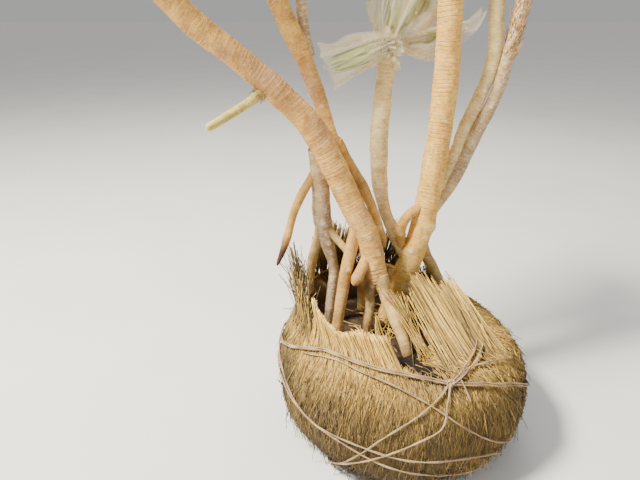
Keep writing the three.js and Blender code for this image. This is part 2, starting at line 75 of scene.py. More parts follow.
# The ball is lower behind on the right, and has a notch in its rim in front with a gap in the straws over it
SHOULDER_ANGLE, SHOULDER_WIDTH, SHOULDER_DROP, SHOULDER_IN = 20, 40, 44, 30
NOTCH_ANGLE, NOTCH_WIDTH, NOTCH_DROP = -82, 20, 52
GAP_ANGLE, GAP_WIDTH, GAP_DEPTH = -78, 20, 2.0
WRAP_TOP, WRAP_BOTTOM, EARTH_FROM = 8.9, 0.9, 10.3  # rings that the wrap reaches, and where the earth begins
# Where the wrap leans most, over how many degrees, and by how many degrees for each ring
RIGHT_LEAN_ANGLE, RIGHT_LEAN_WIDTH, RIGHT_LEAN = -32, 42, 8

# Limbs: points x, y, z and radius, as in the CAD source
STEMS = {
    "stem_main": [
        (-22, 45, 240, 37), (-1, 50, 340, 33), (17, 52, 408, 29), (34, 55, 480, 27), (46, 57, 550, 28.5),
        (58, 60, 680, 27), (64, 62, 840, 26.5), (57, 62, 1000, 25.5), (46, 62, 1150, 25), (36, 60, 1285, 24),
    ],
    "stem_left": [
        (-70, -26, 398, 21), (-84, -18, 450, 27), (-99, -10, 504, 28.5), (-158, 0, 628, 27.5),
        (-220, 0, 746, 28), (-321, -15, 853, 25.5), (-450, -40, 963, 24), (-575, -62, 1100, 23),
    ],
    "stem_prop": [
        (-189, 4, 240, 12), (-178, 16, 340, 12.5), (-174, 25, 410, 12), (-190, 31, 470, 16.5),
        (-201, 34, 525, 22.5), (-206, 28, 600, 20.5), (-214, 10, 705, 19),
    ],
    "stem_back_left": [
        (-176, 29, 704, 14), (-203, 54, 788, 17), (-241, 60, 885, 19), (-292, 60, 997, 20.5),
        (-330, 66, 1130, 19),
    ],
    "stem_back_thin": [
        (-231, 64, 892, 11), (-237, 75, 923, 12.5), (-245, 88, 975, 12.5), (-252, 104, 1060, 12.5),
        (-254, 122, 1145, 12),
    ],
    "stem_middle": [
        (8, 64, 420, 14), (-16, 82, 464, 18), (-38, 95, 505, 14.5), (-52, 100, 547, 17), (-62, 100, 600, 20),
        (-69, 100, 703, 20.5), (-65, 100, 800, 20.5), (-61, 100, 892, 19.5),
    ],
    "stem_far_right": [
        (60, 64, 540, 13), (91, 72, 585, 15), (122, 79, 650, 17), (149, 80, 724, 16), (180, 78, 805, 14.5),
        (196, 72, 900, 13.5), (209, 68, 1000, 12.5), (232, 56, 1110, 12),
    ],
    "stem_right": [
        (84, 76, 592, 12), (106, 84, 667, 13.5), (124, 88, 735, 15), (154, 88, 818, 15.5),
        (168, 86, 883, 15.5), (163, 88, 960, 16), (160, 106, 1060, 15.5), (172, 142, 1165, 15),
    ],
    "bough_left_outer": [(-572, -62, 1098, 15), (-618, -76, 1158, 18), (-655, -86, 1235, 17)],
    "bough_left_inner": [(-572, -60, 1098, 15), (-548, -38, 1165, 17), (-532, -14, 1240, 16)],
    "bough_main_left": [(36, 60, 1283, 17), (-6, 42, 1338, 20), (-44, 24, 1408, 19)],
    "bough_main_right": [(36, 60, 1283, 17), (80, 62, 1335, 19), (112, 58, 1400, 18)],
}
ROOTS = {
    "root_left_of_stem": [
        (-124, -4, 545, 11), (-134, -20, 481, 14), (-146, -35, 432, 14.5), (-155, -48, 378, 14.5),
        (-167, -70, 298, 14), (-172, -78, 240, 13),
    ],
    "root_front": [
        (-68, -27, 412, 17), (-55, -42, 378, 15.5), (-38, -72, 342, 15.5), (-14, -118, 286, 15),
        (-4, -146, 250, 12),
    ],
    "root_centre": [
        (-78, -26, 412, 12), (-88, -31, 370, 12), (-87, -35, 335, 12), (-95, -40, 277, 11.5),
        (-97, -42, 240, 11),
    ],
    "root_blunt": [(-90, -14, 475, 10), (-104, -33, 450, 12), (-122, -52, 419, 12.5), (-131, -61, 404, 8)],
    "root_prop_left": [(-202, 34, 512, 13), (-219, 43, 450, 12), (-229, 49, 395, 11.5), (-233, 52, 320, 10)],
    "root_prop_right": [(-193, 33, 516, 10), (-172, 20, 492, 9.5), (-142, -12, 466, 9)],
    "root_dark_tip": [
        (-214, 24, 655, 9), (-250, 10, 597, 10), (-267, 0, 559, 10), (-282, -10, 505, 10),
        (-294, -15, 469, 7), (-308, -20, 434, 3.2),
    ],
    "root_young": [(-318, -18, 838, 10), (-342, -29, 815, 10), (-382, -50, 792, 9.5), (-430, -79, 766, 8.5)],
    "root_torn": [
        (-174, 33, 716, 12), (-152, 44, 680, 13), (-128, 50, 640, 13), (-97, 50, 583, 12.5),
        (-76, 48, 535, 12), (-56, 48, 478, 11), (-51, 46, 450, 4.5),
    ],
    "root_arched": [(34, 48, 560, 10), (2, 40, 538, 12), (-13, 42, 502, 12), (-6, 58, 455, 11)],
    "root_behind_main": [
        (36, 60, 480, 12), (58, 70, 422, 13), (86, 76, 372, 13), (108, 80, 312, 13), (112, 82, 240, 12),
    ],
    "root_back_right": [(34, 66, 505, 11), (24, 104, 430, 13), (12, 126, 345, 13), (4, 134, 240, 12)],
    "root_back_middle": [(-94, 0, 500, 11), (-92, 36, 425, 12), (-96, 68, 345, 12), (-98, 78, 240, 11)],
    "root_back_left": [(-203, 40, 540, 11), (-186, 78, 455, 12), (-166, 106, 350, 12), (-158, 114, 240, 11)],
}

# Netted leaf heads: the limb each stands on, the way it points, length, girth, leaves
HEADS = {
    "leaves_left_outer": ("bough_left_outer", (-0.4, -0.1, 1), 430, 84, 104),
    "leaves_left_inner": ("bough_left_inner", (0.08, -0.06, 1), 430, 80, 104),
    "leaves_back_left": ("stem_back_left", (-0.14, 0.16, 1), 440, 80, 104),
    "leaves_back_thin": ("stem_back_thin", (0.2, 0.5, 1), 380, 68, 90),
    "leaves_middle": ("stem_middle", (0.42, 0.5, 1), 350, 74, 150),
    "leaves_main_left": ("bough_main_left", (-0.32, -0.18, 1), 460, 90, 116),
    "leaves_main_right": ("bough_main_right", (0.3, 0, 1), 460, 88, 116),
    "leaves_right": ("stem_right", (0.3, 0.5, 1), 420, 78, 100),
    "leaves_far_right": ("stem_far_right", (0.5, -0.16, 1), 410, 76, 100),
}
# Side bunches knotted to the middle head: both ends, radius at the tie, girth, leaves, pinched end
SIDE_BUNCHES = {
    "leaves_middle_left": ((-66, 84, 914), (-192, 78, 864), 20, 52, 26, False),
    "leaves_middle_right": ((-44, 108, 912), (196, 172, 962), 18, 46, 14, True),
}
FINE_HEAD = 140  # a head with more leaves than this has thin ones, and no inner fold of netting
TIE_TURNS = 3.2
HEAD_SEED, SIDE_SEED, FIBRE_SEED, STRAW_SEED = 900, 950, 71, 11

# Straw collars: the sweep of angles and the ring they stand on, how they are laid, and the line of their tips
COLLARS = {
    "straw_front": dict(
        sweep=(214, 266), ring=8.7, thick=7, straws=760, sheaves=9, ragged=0.16, splay=1.1, slim=1.15,
        leave=1.0,
        tips=[(-222, -112, 402), (-196, -160, 384), (-163, -186, 368), (-122, -190, 372), (-73, -185, 354)],
    ),
    "straw_right_outer": dict(
        sweep=(-73, -32), ring=7.6, thick=16, straws=520, sheaves=7, ragged=0.5, splay=6, slim=1.3, leave=0.6,
        tips=[(-14, -40, 382), (6, -24, 390), (38, 0, 402), (80, 10, 384), (112, 16, 364)],
        fold=(0.56, 0.07), sparse=0.25, clean=(0.35, 0.9),
    ),
    "straw_right_inner": dict(
        sweep=(-32, 62), ring=7.9, thick=9, straws=360, sheaves=4, ragged=0.4, splay=7, slim=1.2, leave=0.6,
        tips=[(112, 30, 330), (98, 84, 330), (66, 124, 362)], shade=0.15,
    ),
    "straw_back": dict(
        sweep=(66, 150), ring=8.7, thick=14, straws=560, sheaves=7, ragged=0.42, splay=8, slim=1.25,
        leave=0.9, shade=0.2,
        tips=[(52, 148, 410), (-24, 172, 440), (-104, 168, 462), (-168, 132, 470), (-210, 92, 452)],
    ),
    "straw_left": dict(
        sweep=(154, 210), ring=8.7, thick=12, straws=190, sheaves=6, ragged=0.62, splay=12, slim=1.0,
        leave=1.2, shade=0.42,
        tips=[(-250, 84, 436), (-262, 4, 440), (-246, -84, 410)],
    ),
}

# Twine tied round the ball: the middle ring, the tilt in rings, the angle it rises to and the lowest ring
TWINE_RINGS = {
    "twine_main_upper": (5.2, 2.7, -125, 3.7),
    "twine_main_lower": (5.12, 2.7, -125, 3.62),
    "twine_low": (2.9, 1.7, -165, 1.7),
}
# How far the two main rings sag from their plain slant: angles and rings
MAIN_SAG = (
    (-205, -172, -160, -150, -138, -119, -95, -76, -62, -43, -15),
    (-0.6, -1.25, -1.1, -0.85, -0.55, -0.45, -0.25, -0.08, 0.2, 0.25, 0),
)
# Shorter runs across the front, as pairs of angle and ring
FRONT_RUNS = [
    [(-153, 6.45), (-129, 7.12), (-107, 6.98), (-92, 6.46), (-84.5, 6.06), (-64, 4.6), (-40, 3.3), (-16, 2.4),
     (-7, 1.85)],
    [(-75.5, 6.92), (-62, 7.34), (-41, 7.74)],
    [(-76.5, 6.8), (-63, 7.18), (-43, 7.52)],
    [(-76.5, 6.9), (-62.5, 7.2), (-46.5, 6.94), (-34, 6.46)],
    [(-71, 7.0), (-70.5, 6.18)],
    [(-77, 6.82), (-80, 6.28), (-83.5, 5.36), (-92, 4.86), (-105, 4.12), (-116, 3.4), (-127, 2.6),
     (-135, 1.85)],
    [(-77.5, 6.84), (-88.5, 6.06), (-99.5, 5.24), (-109.5, 4.36), (-125, 2.6), (-131, 1.85)],
    [(-182, 5.5), (-160, 4.9), (-147, 4.64), (-135, 4.38), (-123.5, 4.34), (-109.5, 4.28), (-96.5, 4.16),
     (-75, 3.96), (-58, 3.6), (-44, 2.7), (-36, 1.85)],
]
# How high the twine lies, and where the front collar's straws lift the main rings further
TWINE_LIFT, FRINGE_ANGLE, FRINGE_WIDTH, FRINGE_LIFT = 8.5, -132, 34, 3.5
KNOT_ANGLE, KNOT_RING, KNOT_LIFT, KNOT_SIZE, KNOT_DEPTH = -76, 6.88, 11.0, 2.3, 3.4


# Functions used throughout
def clamp(x):
    return np.clip(x, 0, 1)


def smoothstep(x, low, high):
    t = clamp((np.asarray(x, float) - low) / (high - low))
    return t * t * (3 - 2 * t)


def bell(x, width):
    return np.exp(-((x / width) ** 2))


def lerp(a, b, t):
    return a + (b - a) * t


def unit(v):
    return v / np.maximum(np.linalg.norm(v, axis=-1, keepdims=True), 1e-9)


def full_turn(count):
    return np.arange(count) * 2 * math.pi / count


def from_angle(angle, middle):
    """Degrees from middle to angle, the short way round."""
    return (np.asarray(angle) - middle + 180) % 360 - 180


def near_gap(angle, width=GAP_WIDTH):
    """One at the gap in the straws over the rim's notch, falling to nothing beside it."""
    return bell(from_angle(angle, GAP_ANGLE), width)


def spots(*parts):
    """Places for noise from three numbers or grids."""
    return np.stack(np.broadcast_arrays(*parts), -1)


def round_spots(angle, radius, third):
    """Places for noise that close up round the ball, from angles in degrees."""
    turn = np.radians(angle)
    return spots(np.cos(turn) * radius, np.sin(turn) * radius, third)


def value_noise(points, scale, seed):
    """Smooth noise between -1 and 1 at points (..., 3), with bumps about scale across."""
    q = np.asarray(points, float) / scale
    cell = np.floor(q).astype(np.int64)
    f = q - cell
    f = f * f * (3 - 2 * f)
    total = np.zeros(q.shape[:-1])
    for corner in range(8):
        step = np.array([corner & 1, corner >> 1 & 1, corner >> 2 & 1])
        weight = np.prod(np.where(step, f, 1 - f), axis=-1)
        x, y, z = np.moveaxis(cell + step, -1, 0)
        h = (x * 374761393 + y * 668265263 + z * 1442695041 + seed * 974711) & 0xFFFFFFFF
        h = ((h ^ (h >> 13)) * 1274126177) & 0xFFFFFFFF
        total += weight * ((h ^ (h >> 16)) & 0xFFFF) / 65535
    return total * 2 - 1


# Meshes
class Batch:
    """One piece in the making: vertices in millimetres, point values, and faces and materials by corners."""

    def __init__(self):
        self.vertices, self.values, self.count = [], {}, 0
        self.faces, self.materials = {4: [], 3: []}, {4: [], 3: []}

    def add(self, vertices, quads, tris=None, material=0, **values):
        vertices = vertices.reshape(-1, 3)
        for name in {**self.values, **values}:
            column = self.values.setdefault(name, [np.zeros(self.count)])
            column.append(np.broadcast_to(np.asarray(values.get(name, 0.0), float), len(vertices)))
        self.vertices.append(vertices)
        for corners, faces in ((4, quads), (3, tris)):
            if faces is not None:
                self.faces[corners].append(faces + self.count)
                self.materials[corners].append(np.broadcast_to(material, len(faces)))
        self.count += len(vertices)

    def piece(self, name, slot, materials, replaced=()):
        mesh = bpy.data.meshes.new(name)
        faces = [face for block in self.faces[4] + self.faces[3] for face in block.tolist()]
        mesh.from_pydata((np.concatenate(self.vertices) * MM).tolist(), [], faces)
        mesh.shade_smooth()
        looks = np.concatenate(self.materials[4] + self.materials[3])
        mesh.polygons.foreach_set("material_index", looks.astype(np.int32))
        for key, parts in self.values.items():
            column = mesh.attributes.new(key, "FLOAT", "POINT").data
            column.foreach_set("value", np.concatenate(parts).astype(np.float32))
        for material in materials:
            mesh.materials.append(material)
        made = show(name, mesh)
        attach(made, "root")
        if replaced:
            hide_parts(*replaced)


def grid_faces(rows, columns, closed=True):
    """Quads of a grid whose vertices run column by column along each row."""
    r = np.arange(rows - 1)[:, None]
    c = np.arange(columns if closed else columns - 1)[None, :]
    after = (c + 1) % columns
    a, b = r * columns + c, r * columns + after
    return np.stack([a, b, b + columns, a + columns], -1).reshape(-1, 4)


def end_caps(rows, sides):
    """Triangles that close both ends of a tube."""
    fan = np.array([[0, i + 1, i] for i in range(1, sides - 1)])
    return np.concatenate([fan, (rows - 1) * sides + fan[:, ::-1]])


def copies(faces, count, step):
    """The same faces for count bodies of step vertices each."""
    return (faces[None] + (np.arange(count) * step)[:, None, None]).reshape(-1, faces.shape[1])


def circles(across, other, turn):
    """Directions round each point of a path, at the angles turn."""
    return across[..., None, :] * np.cos(turn)[:, None] + other[..., None, :] * np.sin(turn)[:, None]


def tubes(batch, centres, radii, hint, sides=3, material=0, **values):
    """Closed tubes: centres (n, p, 3), radii (n, p) or (n, 1), hint (n, 3) a direction across each tube."""
    n, p = centres.shape[:2]
    along = unit(np.gradient(centres, axis=1))
    across = unit(np.cross(along, np.broadcast_to(hint[:, None, :], centres.shape)))
    ring = circles(across, np.cross(along, across), full_turn(sides))
    vertices = centres[:, :, None] + ring * np.broadcast_to(radii, (n, p))[:, :, None, None]
    for key, value in values.items():
        value = np.broadcast_to(value.reshape(n, -1), (n, p))
        values[key] = np.broadcast_to(value[:, :, None], (n, p, sides)).ravel()
    step = p * sides
    quads, tris = copies(grid_faces(p, sides), n, step), copies(end_caps(p, sides), n, step)
    batch.add(vertices, quads, tris, material, **values)


def smooth_path(points, spacing):
    """A centripetal curve through the points at even steps: places, radii, distance along it."""
    points = np.array(points, float)
    places = points[:, :3]
    ends = np.vstack([2 * places[0] - places[1], places, 2 * places[-1] - places[-2]])
    fine, radii = [], []
    steps = 40
    for i in range(len(places) - 1):
        a, b, c, d = ends[i : i + 4]
        t1 = np.linalg.norm(b - a) ** 0.5
        t2 = t1 + np.linalg.norm(c - b) ** 0.5
        t3 = t2 + np.linalg.norm(d - c) ** 0.5
        share = np.linspace(0, 1, steps + 1)[: None if i == len(places) - 2 else -1]
        t = (t1 + (t2 - t1) * share)[:, None]

        def between(p, q, low, high):
            return (high - t) / (high - low) * p + (t - low) / (high - low) * q

        ab, bc, cd = between(a, b, 0, t1), between(b, c, t1, t2), between(c, d, t2, t3)
        fine.append(between(between(ab, bc, 0, t2), between(bc, cd, t1, t3), t1, t2))
        radii.append(lerp(points[i, -1], points[i + 1, -1], share))
    fine, radii = np.vstack(fine), np.concatenate(radii)
    far = np.concatenate([[0], np.cumsum(np.linalg.norm(np.diff(fine, axis=0), axis=1))])
    at = np.linspace(0, far[-1], max(4, int(round(far[-1] / spacing)) + 1))
    even = np.stack([np.interp(at, far, fine[:, k]) for k in range(3)], -1)
    return even, np.interp(at, far, radii), at


def carried_frame(path):
    """Two directions across a path that turn as little as they can along it."""
    along = unit(np.gradient(path, axis=0))
    start = np.cross(along[0], (0, 1, 0) if abs(along[0][1]) < 0.9 else (1, 0, 0))
    across = [start / np.linalg.norm(start)]
    for direction in along[1:]:
        kept = across[-1] - direction * np.dot(across[-1], direction)
        across.append(kept / np.linalg.norm(kept))
    across = np.array(across)
    return along, across, np.cross(along, across)


# The root ball's skin
def ball_point(angle, ring):
    """Places on the ball's skin at angles in degrees and rings that may be fractions."""
    angle, ring = np.broadcast_arrays(np.asarray(angle, float), np.asarray(ring, float))
    low = np.clip(np.floor(ring), 0, LAST_RING - 1).astype(int)
    t = (ring - low)[..., None]
    a, b, c, d = (BALL_RINGS[np.clip(low + k, 0, LAST_RING)] for k in (-1, 0, 1, 2))
    curved = 0.5 * (2 * b + (c - a) * t + (2 * a - 5 * b + 4 * c - d) * t**2 + (3 * b - a - 3 * c + d) * t**3)
    keep_straight = clamp(smoothstep(-ring, -2, -1.2) + smoothstep(ring, RIM_RING, RIM_RING + 0.4))
    radius, height, x, y = np.moveaxis(lerp(curved, lerp(b, c, t), keep_straight[..., None]), -1, 0)
    turn = np.radians(angle)
    swell = np.sin(3 * turn + np.radians(ring * 47)) * 0.6 + np.sin(7 * turn - np.radians(ring * 80)) * 0.4
    lump = BALL_LUMPS * swell * smoothstep(ring, 1, 2) * smoothstep(-ring, -10, -9)
    inward = clamp(ring - RIM_RING)
    notch = bell(from_angle(angle, NOTCH_ANGLE), NOTCH_WIDTH)
    drop = RIGHT_DROP * np.maximum(0, np.cos(turn)) + NOTCH_DROP * notch
    drop = drop * smoothstep(ring, 7, RIM_RING) * lerp(1, 0.4, inward)
    shoulder = bell(from_angle(angle, SHOULDER_ANGLE), SHOULDER_WIDTH)
    drop = drop + SHOULDER_DROP * shoulder * smoothstep(ring, 5.5, 7.5) * lerp(1, 0.3, inward)
    pulled_in = SHOULDER_IN * shoulder * smoothstep(ring, 4.5, 6.5)
    radius = np.maximum(0, radius + lump - pulled_in * lerp(1, 0.5, smoothstep(ring, 8, RIM_RING)))
    return np.stack([x + radius * np.cos(turn), y + radius * np.sin(turn), np.maximum(0, height - drop)], -1)


def ball_normal(angle, ring):
    up = ball_point(angle, np.minimum(ring + 0.3, LAST_RING)) - ball_point(angle, np.maximum(ring - 0.3, 0))
    return unit(np.cross(ball_point(angle + 3, ring) - ball_point(angle - 3, ring), up))


def over_ball(angle, ring, lift):
    """Places above the ball's skin."""
    angle, ring = np.asarray(angle, float), np.asarray(ring, float)
    return ball_point(angle, ring) + ball_normal(angle, ring) * np.asarray(lift)[..., None]


# Materials
BLACK, WHITE = (0, 0, 0), (255, 255, 255)


def linear(colour):
    """The shader's linear values of a colour given from 0 to 255."""
    return tuple(((c / 255 + 0.055) / 1.055) ** 2.4 if c > 10 else c / 255 / 12.92 for c in colour) + (1.0,)


class Shader:
    """One Principled material made of nodes. A socket takes a number, a colour or another node's socket."""

    def __init__(self, name, roughness=0.8):
        self.material = bpy.data.materials.new(name)
        self.material.use_nodes = True
        self.tree = self.material.node_tree
        self.surface = self.tree.nodes["Principled BSDF"].inputs
        self.put(self.surface["Roughness"], roughness)
        self.put(self.surface["Specular IOR Level"], 0.25)

    def put(self, socket, value):
        if hasattr(value, "is_linked"):
            self.tree.links.new(value, socket)
        else:
            socket.default_value = linear(value) if socket.type == "RGBA" else value

    def node(self, kind, inputs=None, **settings):
        made = self.tree.nodes.new("ShaderNode" + kind)
        for name, value in settings.items():
            setattr(made, name, value)
        for name, value in (inputs or {}).items():
            self.put(made.inputs[name], value)
        return made

    def value(self, name):
        """A point value of the mesh."""
        return self.node("Attribute", attribute_name=name).outputs["Fac"]

    def noise(self, scale, detail=4, stretch=(1, 1, 1), roughness=0.55):
        where = self.node("TexCoord").outputs["Object"]
        places = self.node("Mapping", {"Vector": where, "Scale": stretch}).outputs["Vector"]
        inputs = {"Scale": scale, "Detail": detail, "Roughness": roughness, "Vector": places}
        return self.node("TexNoise", inputs).outputs["Fac"]

    def ramp(self, source, *stops):
        made = self.node("ValToRGB", {"Fac": source})
        elements = made.color_ramp.elements
        for _ in stops[2:]:
            elements.new(0.5)
        for element, (at, colour) in zip(elements, stops):
            element.position = at
            element.color = linear(colour)
        return made.outputs["Color"]

    def mix(self, share, a, b, kind="MIX"):
        return self.node("Mix", {0: share, 6: a, 7: b}, data_type="RGBA", blend_type=kind).outputs[2]

    def math(self, kind, a, b, clamped=True):
        return self.node("Math", {0: a, 1: b}, operation=kind, use_clamp=clamped).outputs[0]

    def colour(self, source):
        self.put(self.surface["Base Color"], source)

    def rough(self, source, low, high):
        fitted = self.node("MapRange", {"Value": source, "To Min": low, "To Max": high})
        self.put(self.surface["Roughness"], fitted.outputs["Result"])

    def bump(self, source, depth, strength=0.6):
        """Relief of depth millimetres, over any that is there already."""
        inputs = {"Strength": strength, "Distance": depth * MM, "Height": source}
        normal = self.surface["Normal"]
        if normal.is_linked:
            inputs["Normal"] = normal.links[0].from_socket
        self.put(normal, self.node("Bump", inputs).outputs["Normal"])


def bark_material(name, light, deep, shady, groove, pale, fleck, line, highlight_strength, step):
    """Bark with a ring scar at every whole number of its value "rings"."""
    s = Shader(name, 0.78)
    fine = s.noise(420, 6, roughness=0.65)
    base = s.ramp(s.noise(22, 5), (0.36, deep), (0.62, light))
    # Painted shade: patches of the shady colour, the colour of the bark's shaded side.
    base = s.mix(s.ramp(s.noise(8, 4), (0.45, BLACK), (0.64, (205, 205, 205))), base, shady)
    base = s.mix(s.math("MULTIPLY", s.value("tone"), 0.7), base, deep)
    flecks = s.ramp(s.noise(110, 4), (fleck - 0.05, BLACK), (fleck + 0.06, WHITE))
    base = s.mix(s.math("MULTIPLY", flecks, 0.4), base, pale)
    rings = s.value("rings")
    shift = s.math("MULTIPLY", s.noise(150, 3), 0.16)
    # Painted highlight: a paler band just above each ring scar.
    above = s.math("PINGPONG", s.math("ADD", rings, 0.82, clamped=False), 0.5)
    lip_highlight = s.ramp(s.math("ADD", above, shift), (0.08, WHITE), (0.24, BLACK))
    base = s.mix(s.math("MULTIPLY", lip_highlight, highlight_strength), base, pale)
    off = s.math("ADD", s.math("PINGPONG", rings, 0.5), shift)
    broken = s.ramp(s.noise(60, 3), (0.36, (50, 50, 50)), (0.6, WHITE))
    faded = s.ramp(s.noise(15, 3), (0.36, (70, 70, 70)), (0.6, WHITE))
    broken = s.math("MULTIPLY", broken, faded)
    scars = s.math("MULTIPLY", s.ramp(off, (0.07, WHITE), (0.2, BLACK)), broken)
    base = s.mix(s.math("MULTIPLY", scars, line), base, groove)
    dots = s.ramp(s.noise(250, 2), (0.66, BLACK), (0.72, WHITE))
    base = s.mix(s.math("MULTIPLY", dots, 0.55), base, groove)
    mottle = s.ramp(s.noise(46, 6, roughness=0.75), (0.34, (196, 180, 160)), (0.56, WHITE))
    base = s.mix(0.7, base, mottle, "MULTIPLY")
    base = s.mix(s.value("scar"), base, pale)
    base = s.mix(s.value("dark"), base, (74, 46, 34))
    speckle = s.ramp(fine, (0.32, (150, 140, 128)), (0.58, WHITE))
    s.colour(s.mix(0.55, base, speckle, "MULTIPLY"))
    s.rough(fine, 0.68, 0.92)
    s.bump(s.noise(700, 5, roughness=0.7), 0.5)
    s.bump(s.mix(faded, WHITE, s.ramp(off, (0.02, BLACK), (0.26, WHITE))), step, 0.8)
    return s.material


def straw_material(name, stops, dirt, roughness):
    s = Shader(name, roughness)
    stalk = s.noise(240, 3, (1, 1, 0.25))
    grain = s.ramp(stalk, (0.3, (176, 164, 140)), (0.7, WHITE))
    # A point value darkens the straws towards a dark colour: partly grime, partly painted shade.
    s.colour(s.mix(s.value("dirt"), s.mix(0.5, s.ramp(s.value("tint"), *stops), grain, "MULTIPLY"), dirt))
    s.rough(stalk, roughness - 0.1, roughness + 0.2)
    s.bump(s.noise(900, 3, (1, 1, 0.12)), 0.25)
    return s.material


def earth_material():
    s = Shader("earth", 0.95)
    clods = s.noise(60, 6, roughness=0.7)
    s.colour(s.ramp(clods, (0.25, (34, 26, 20)), (0.55, (66, 50, 36)), (0.8, (98, 78, 56))))
    s.bump(s.noise(180, 6, roughness=0.7), 3, 1.0)
    return s.material


def twine_material(name, *stops):
    s = Shader(name, 0.7)
    fibres = s.noise(520, 4, (1, 1, 0.6))
    grain = s.ramp(fibres, (0.3, (150, 140, 120)), (0.65, WHITE))
    s.colour(s.mix(0.6, s.ramp(s.value("tint"), *stops), grain, "MULTIPLY"))
    s.rough(fibres, 0.6, 0.85)
    s.bump(fibres, 0.4)
    return s.material


def leaf_material(name, colour):
    s = Shader(name, 0.45)
    s.colour(colour)
    s.bump(s.noise(300, 3, (1, 1, 0.2)), 0.3, 0.4)
    return s.material


def net_material():
    s = Shader("net_gauze", 0.7)
    cloth = s.noise(24, 4)
    s.colour(s.ramp(cloth, (0.3, (230, 212, 164)), (0.7, (250, 240, 208))))
    s.rough(cloth, 0.6, 0.8)
    s.bump(s.noise(1100, 2), 0.25)
    s.put(s.surface["Alpha"], 0.3)
    return s.material


# Barks: light, deep, shady, groove and pale, where flecks start, strength of lines and of the painted
# highlight above each ring, ring height
WARM, BROWN, CREAM, PALE, TAN, GREY, FRESH = (bark_material(*look) for look in (
    ("bark_warm", (255, 216, 116), (246, 184, 84), (204, 186, 112), (132, 76, 38), (255, 240, 186),
     0.64, 0.85, 0.35, 1.1),
    ("bark_brown", (248, 198, 102), (208, 154, 78), (196, 148, 128), (92, 58, 40), (250, 222, 164),
     0.66, 0.66, 0.35, 1.1),
    ("bark_cream", (252, 230, 162), (238, 204, 136), (206, 188, 140), (140, 104, 66), (254, 244, 212),
     0.6, 0.5, 0.35, 0.7),
    ("bark_pale", (226, 198, 146), (182, 150, 108), (146, 124, 110), (104, 80, 60), (246, 234, 210),
     0.56, 0.45, 0.35, 0.7),
    ("root_tan", (238, 192, 106), (198, 150, 76), (162, 128, 84), (108, 74, 46), (246, 218, 160),
     0.68, 0.3, 0.12, 0.35),
    ("root_grey", (232, 200, 130), (186, 152, 92), (142, 122, 92), (98, 76, 54), (242, 222, 176),
     0.64, 0.3, 0.12, 0.35),
    ("root_fresh", (228, 210, 122), (200, 180, 90), (184, 172, 98), (134, 112, 64), (244, 236, 186),
     0.66, 0.25, 0.15, 0.3),
))
STEM_BARKS, ROOT_BARKS = [WARM, BROWN, PALE, CREAM], [TAN, GREY, FRESH, PALE]
straw_gold = straw_material("straw_gold", [
    (0.0, (104, 84, 48)), (0.25, (160, 130, 74)), (0.55, (214, 176, 92)), (0.8, (246, 202, 98)),
    (1.0, (254, 226, 134)),
], (84, 70, 48), 0.62)
# The core under the straws is coloured dark, partly its own colour and partly painted shade in the gaps
# between straws; its darkest colour is painted shade inside the mouth and in the gap over the notch.
mat_shade = straw_material("straw_mat_shade", [
    (0.0, (60, 45, 24)), (0.5, (104, 80, 44)), (1.0, (150, 120, 70)),
], (22, 16, 10), 0.85)
twine_look = twine_material("twine", (0.0, (140, 114, 88)), (0.5, (172, 144, 114)), (1.0, (202, 176, 142)))
tie_look = twine_material("net_tie", (0.0, (206, 192, 156)), (1.0, (236, 226, 198)))
leaf_looks = [leaf_material("leaf_" + name, colour) for name, colour in (
    ("deep", (98, 136, 62)), ("mid", (132, 166, 76)), ("light", (174, 196, 104)), ("edge", (224, 218, 144)),
)]
PALE_LEAF = 3


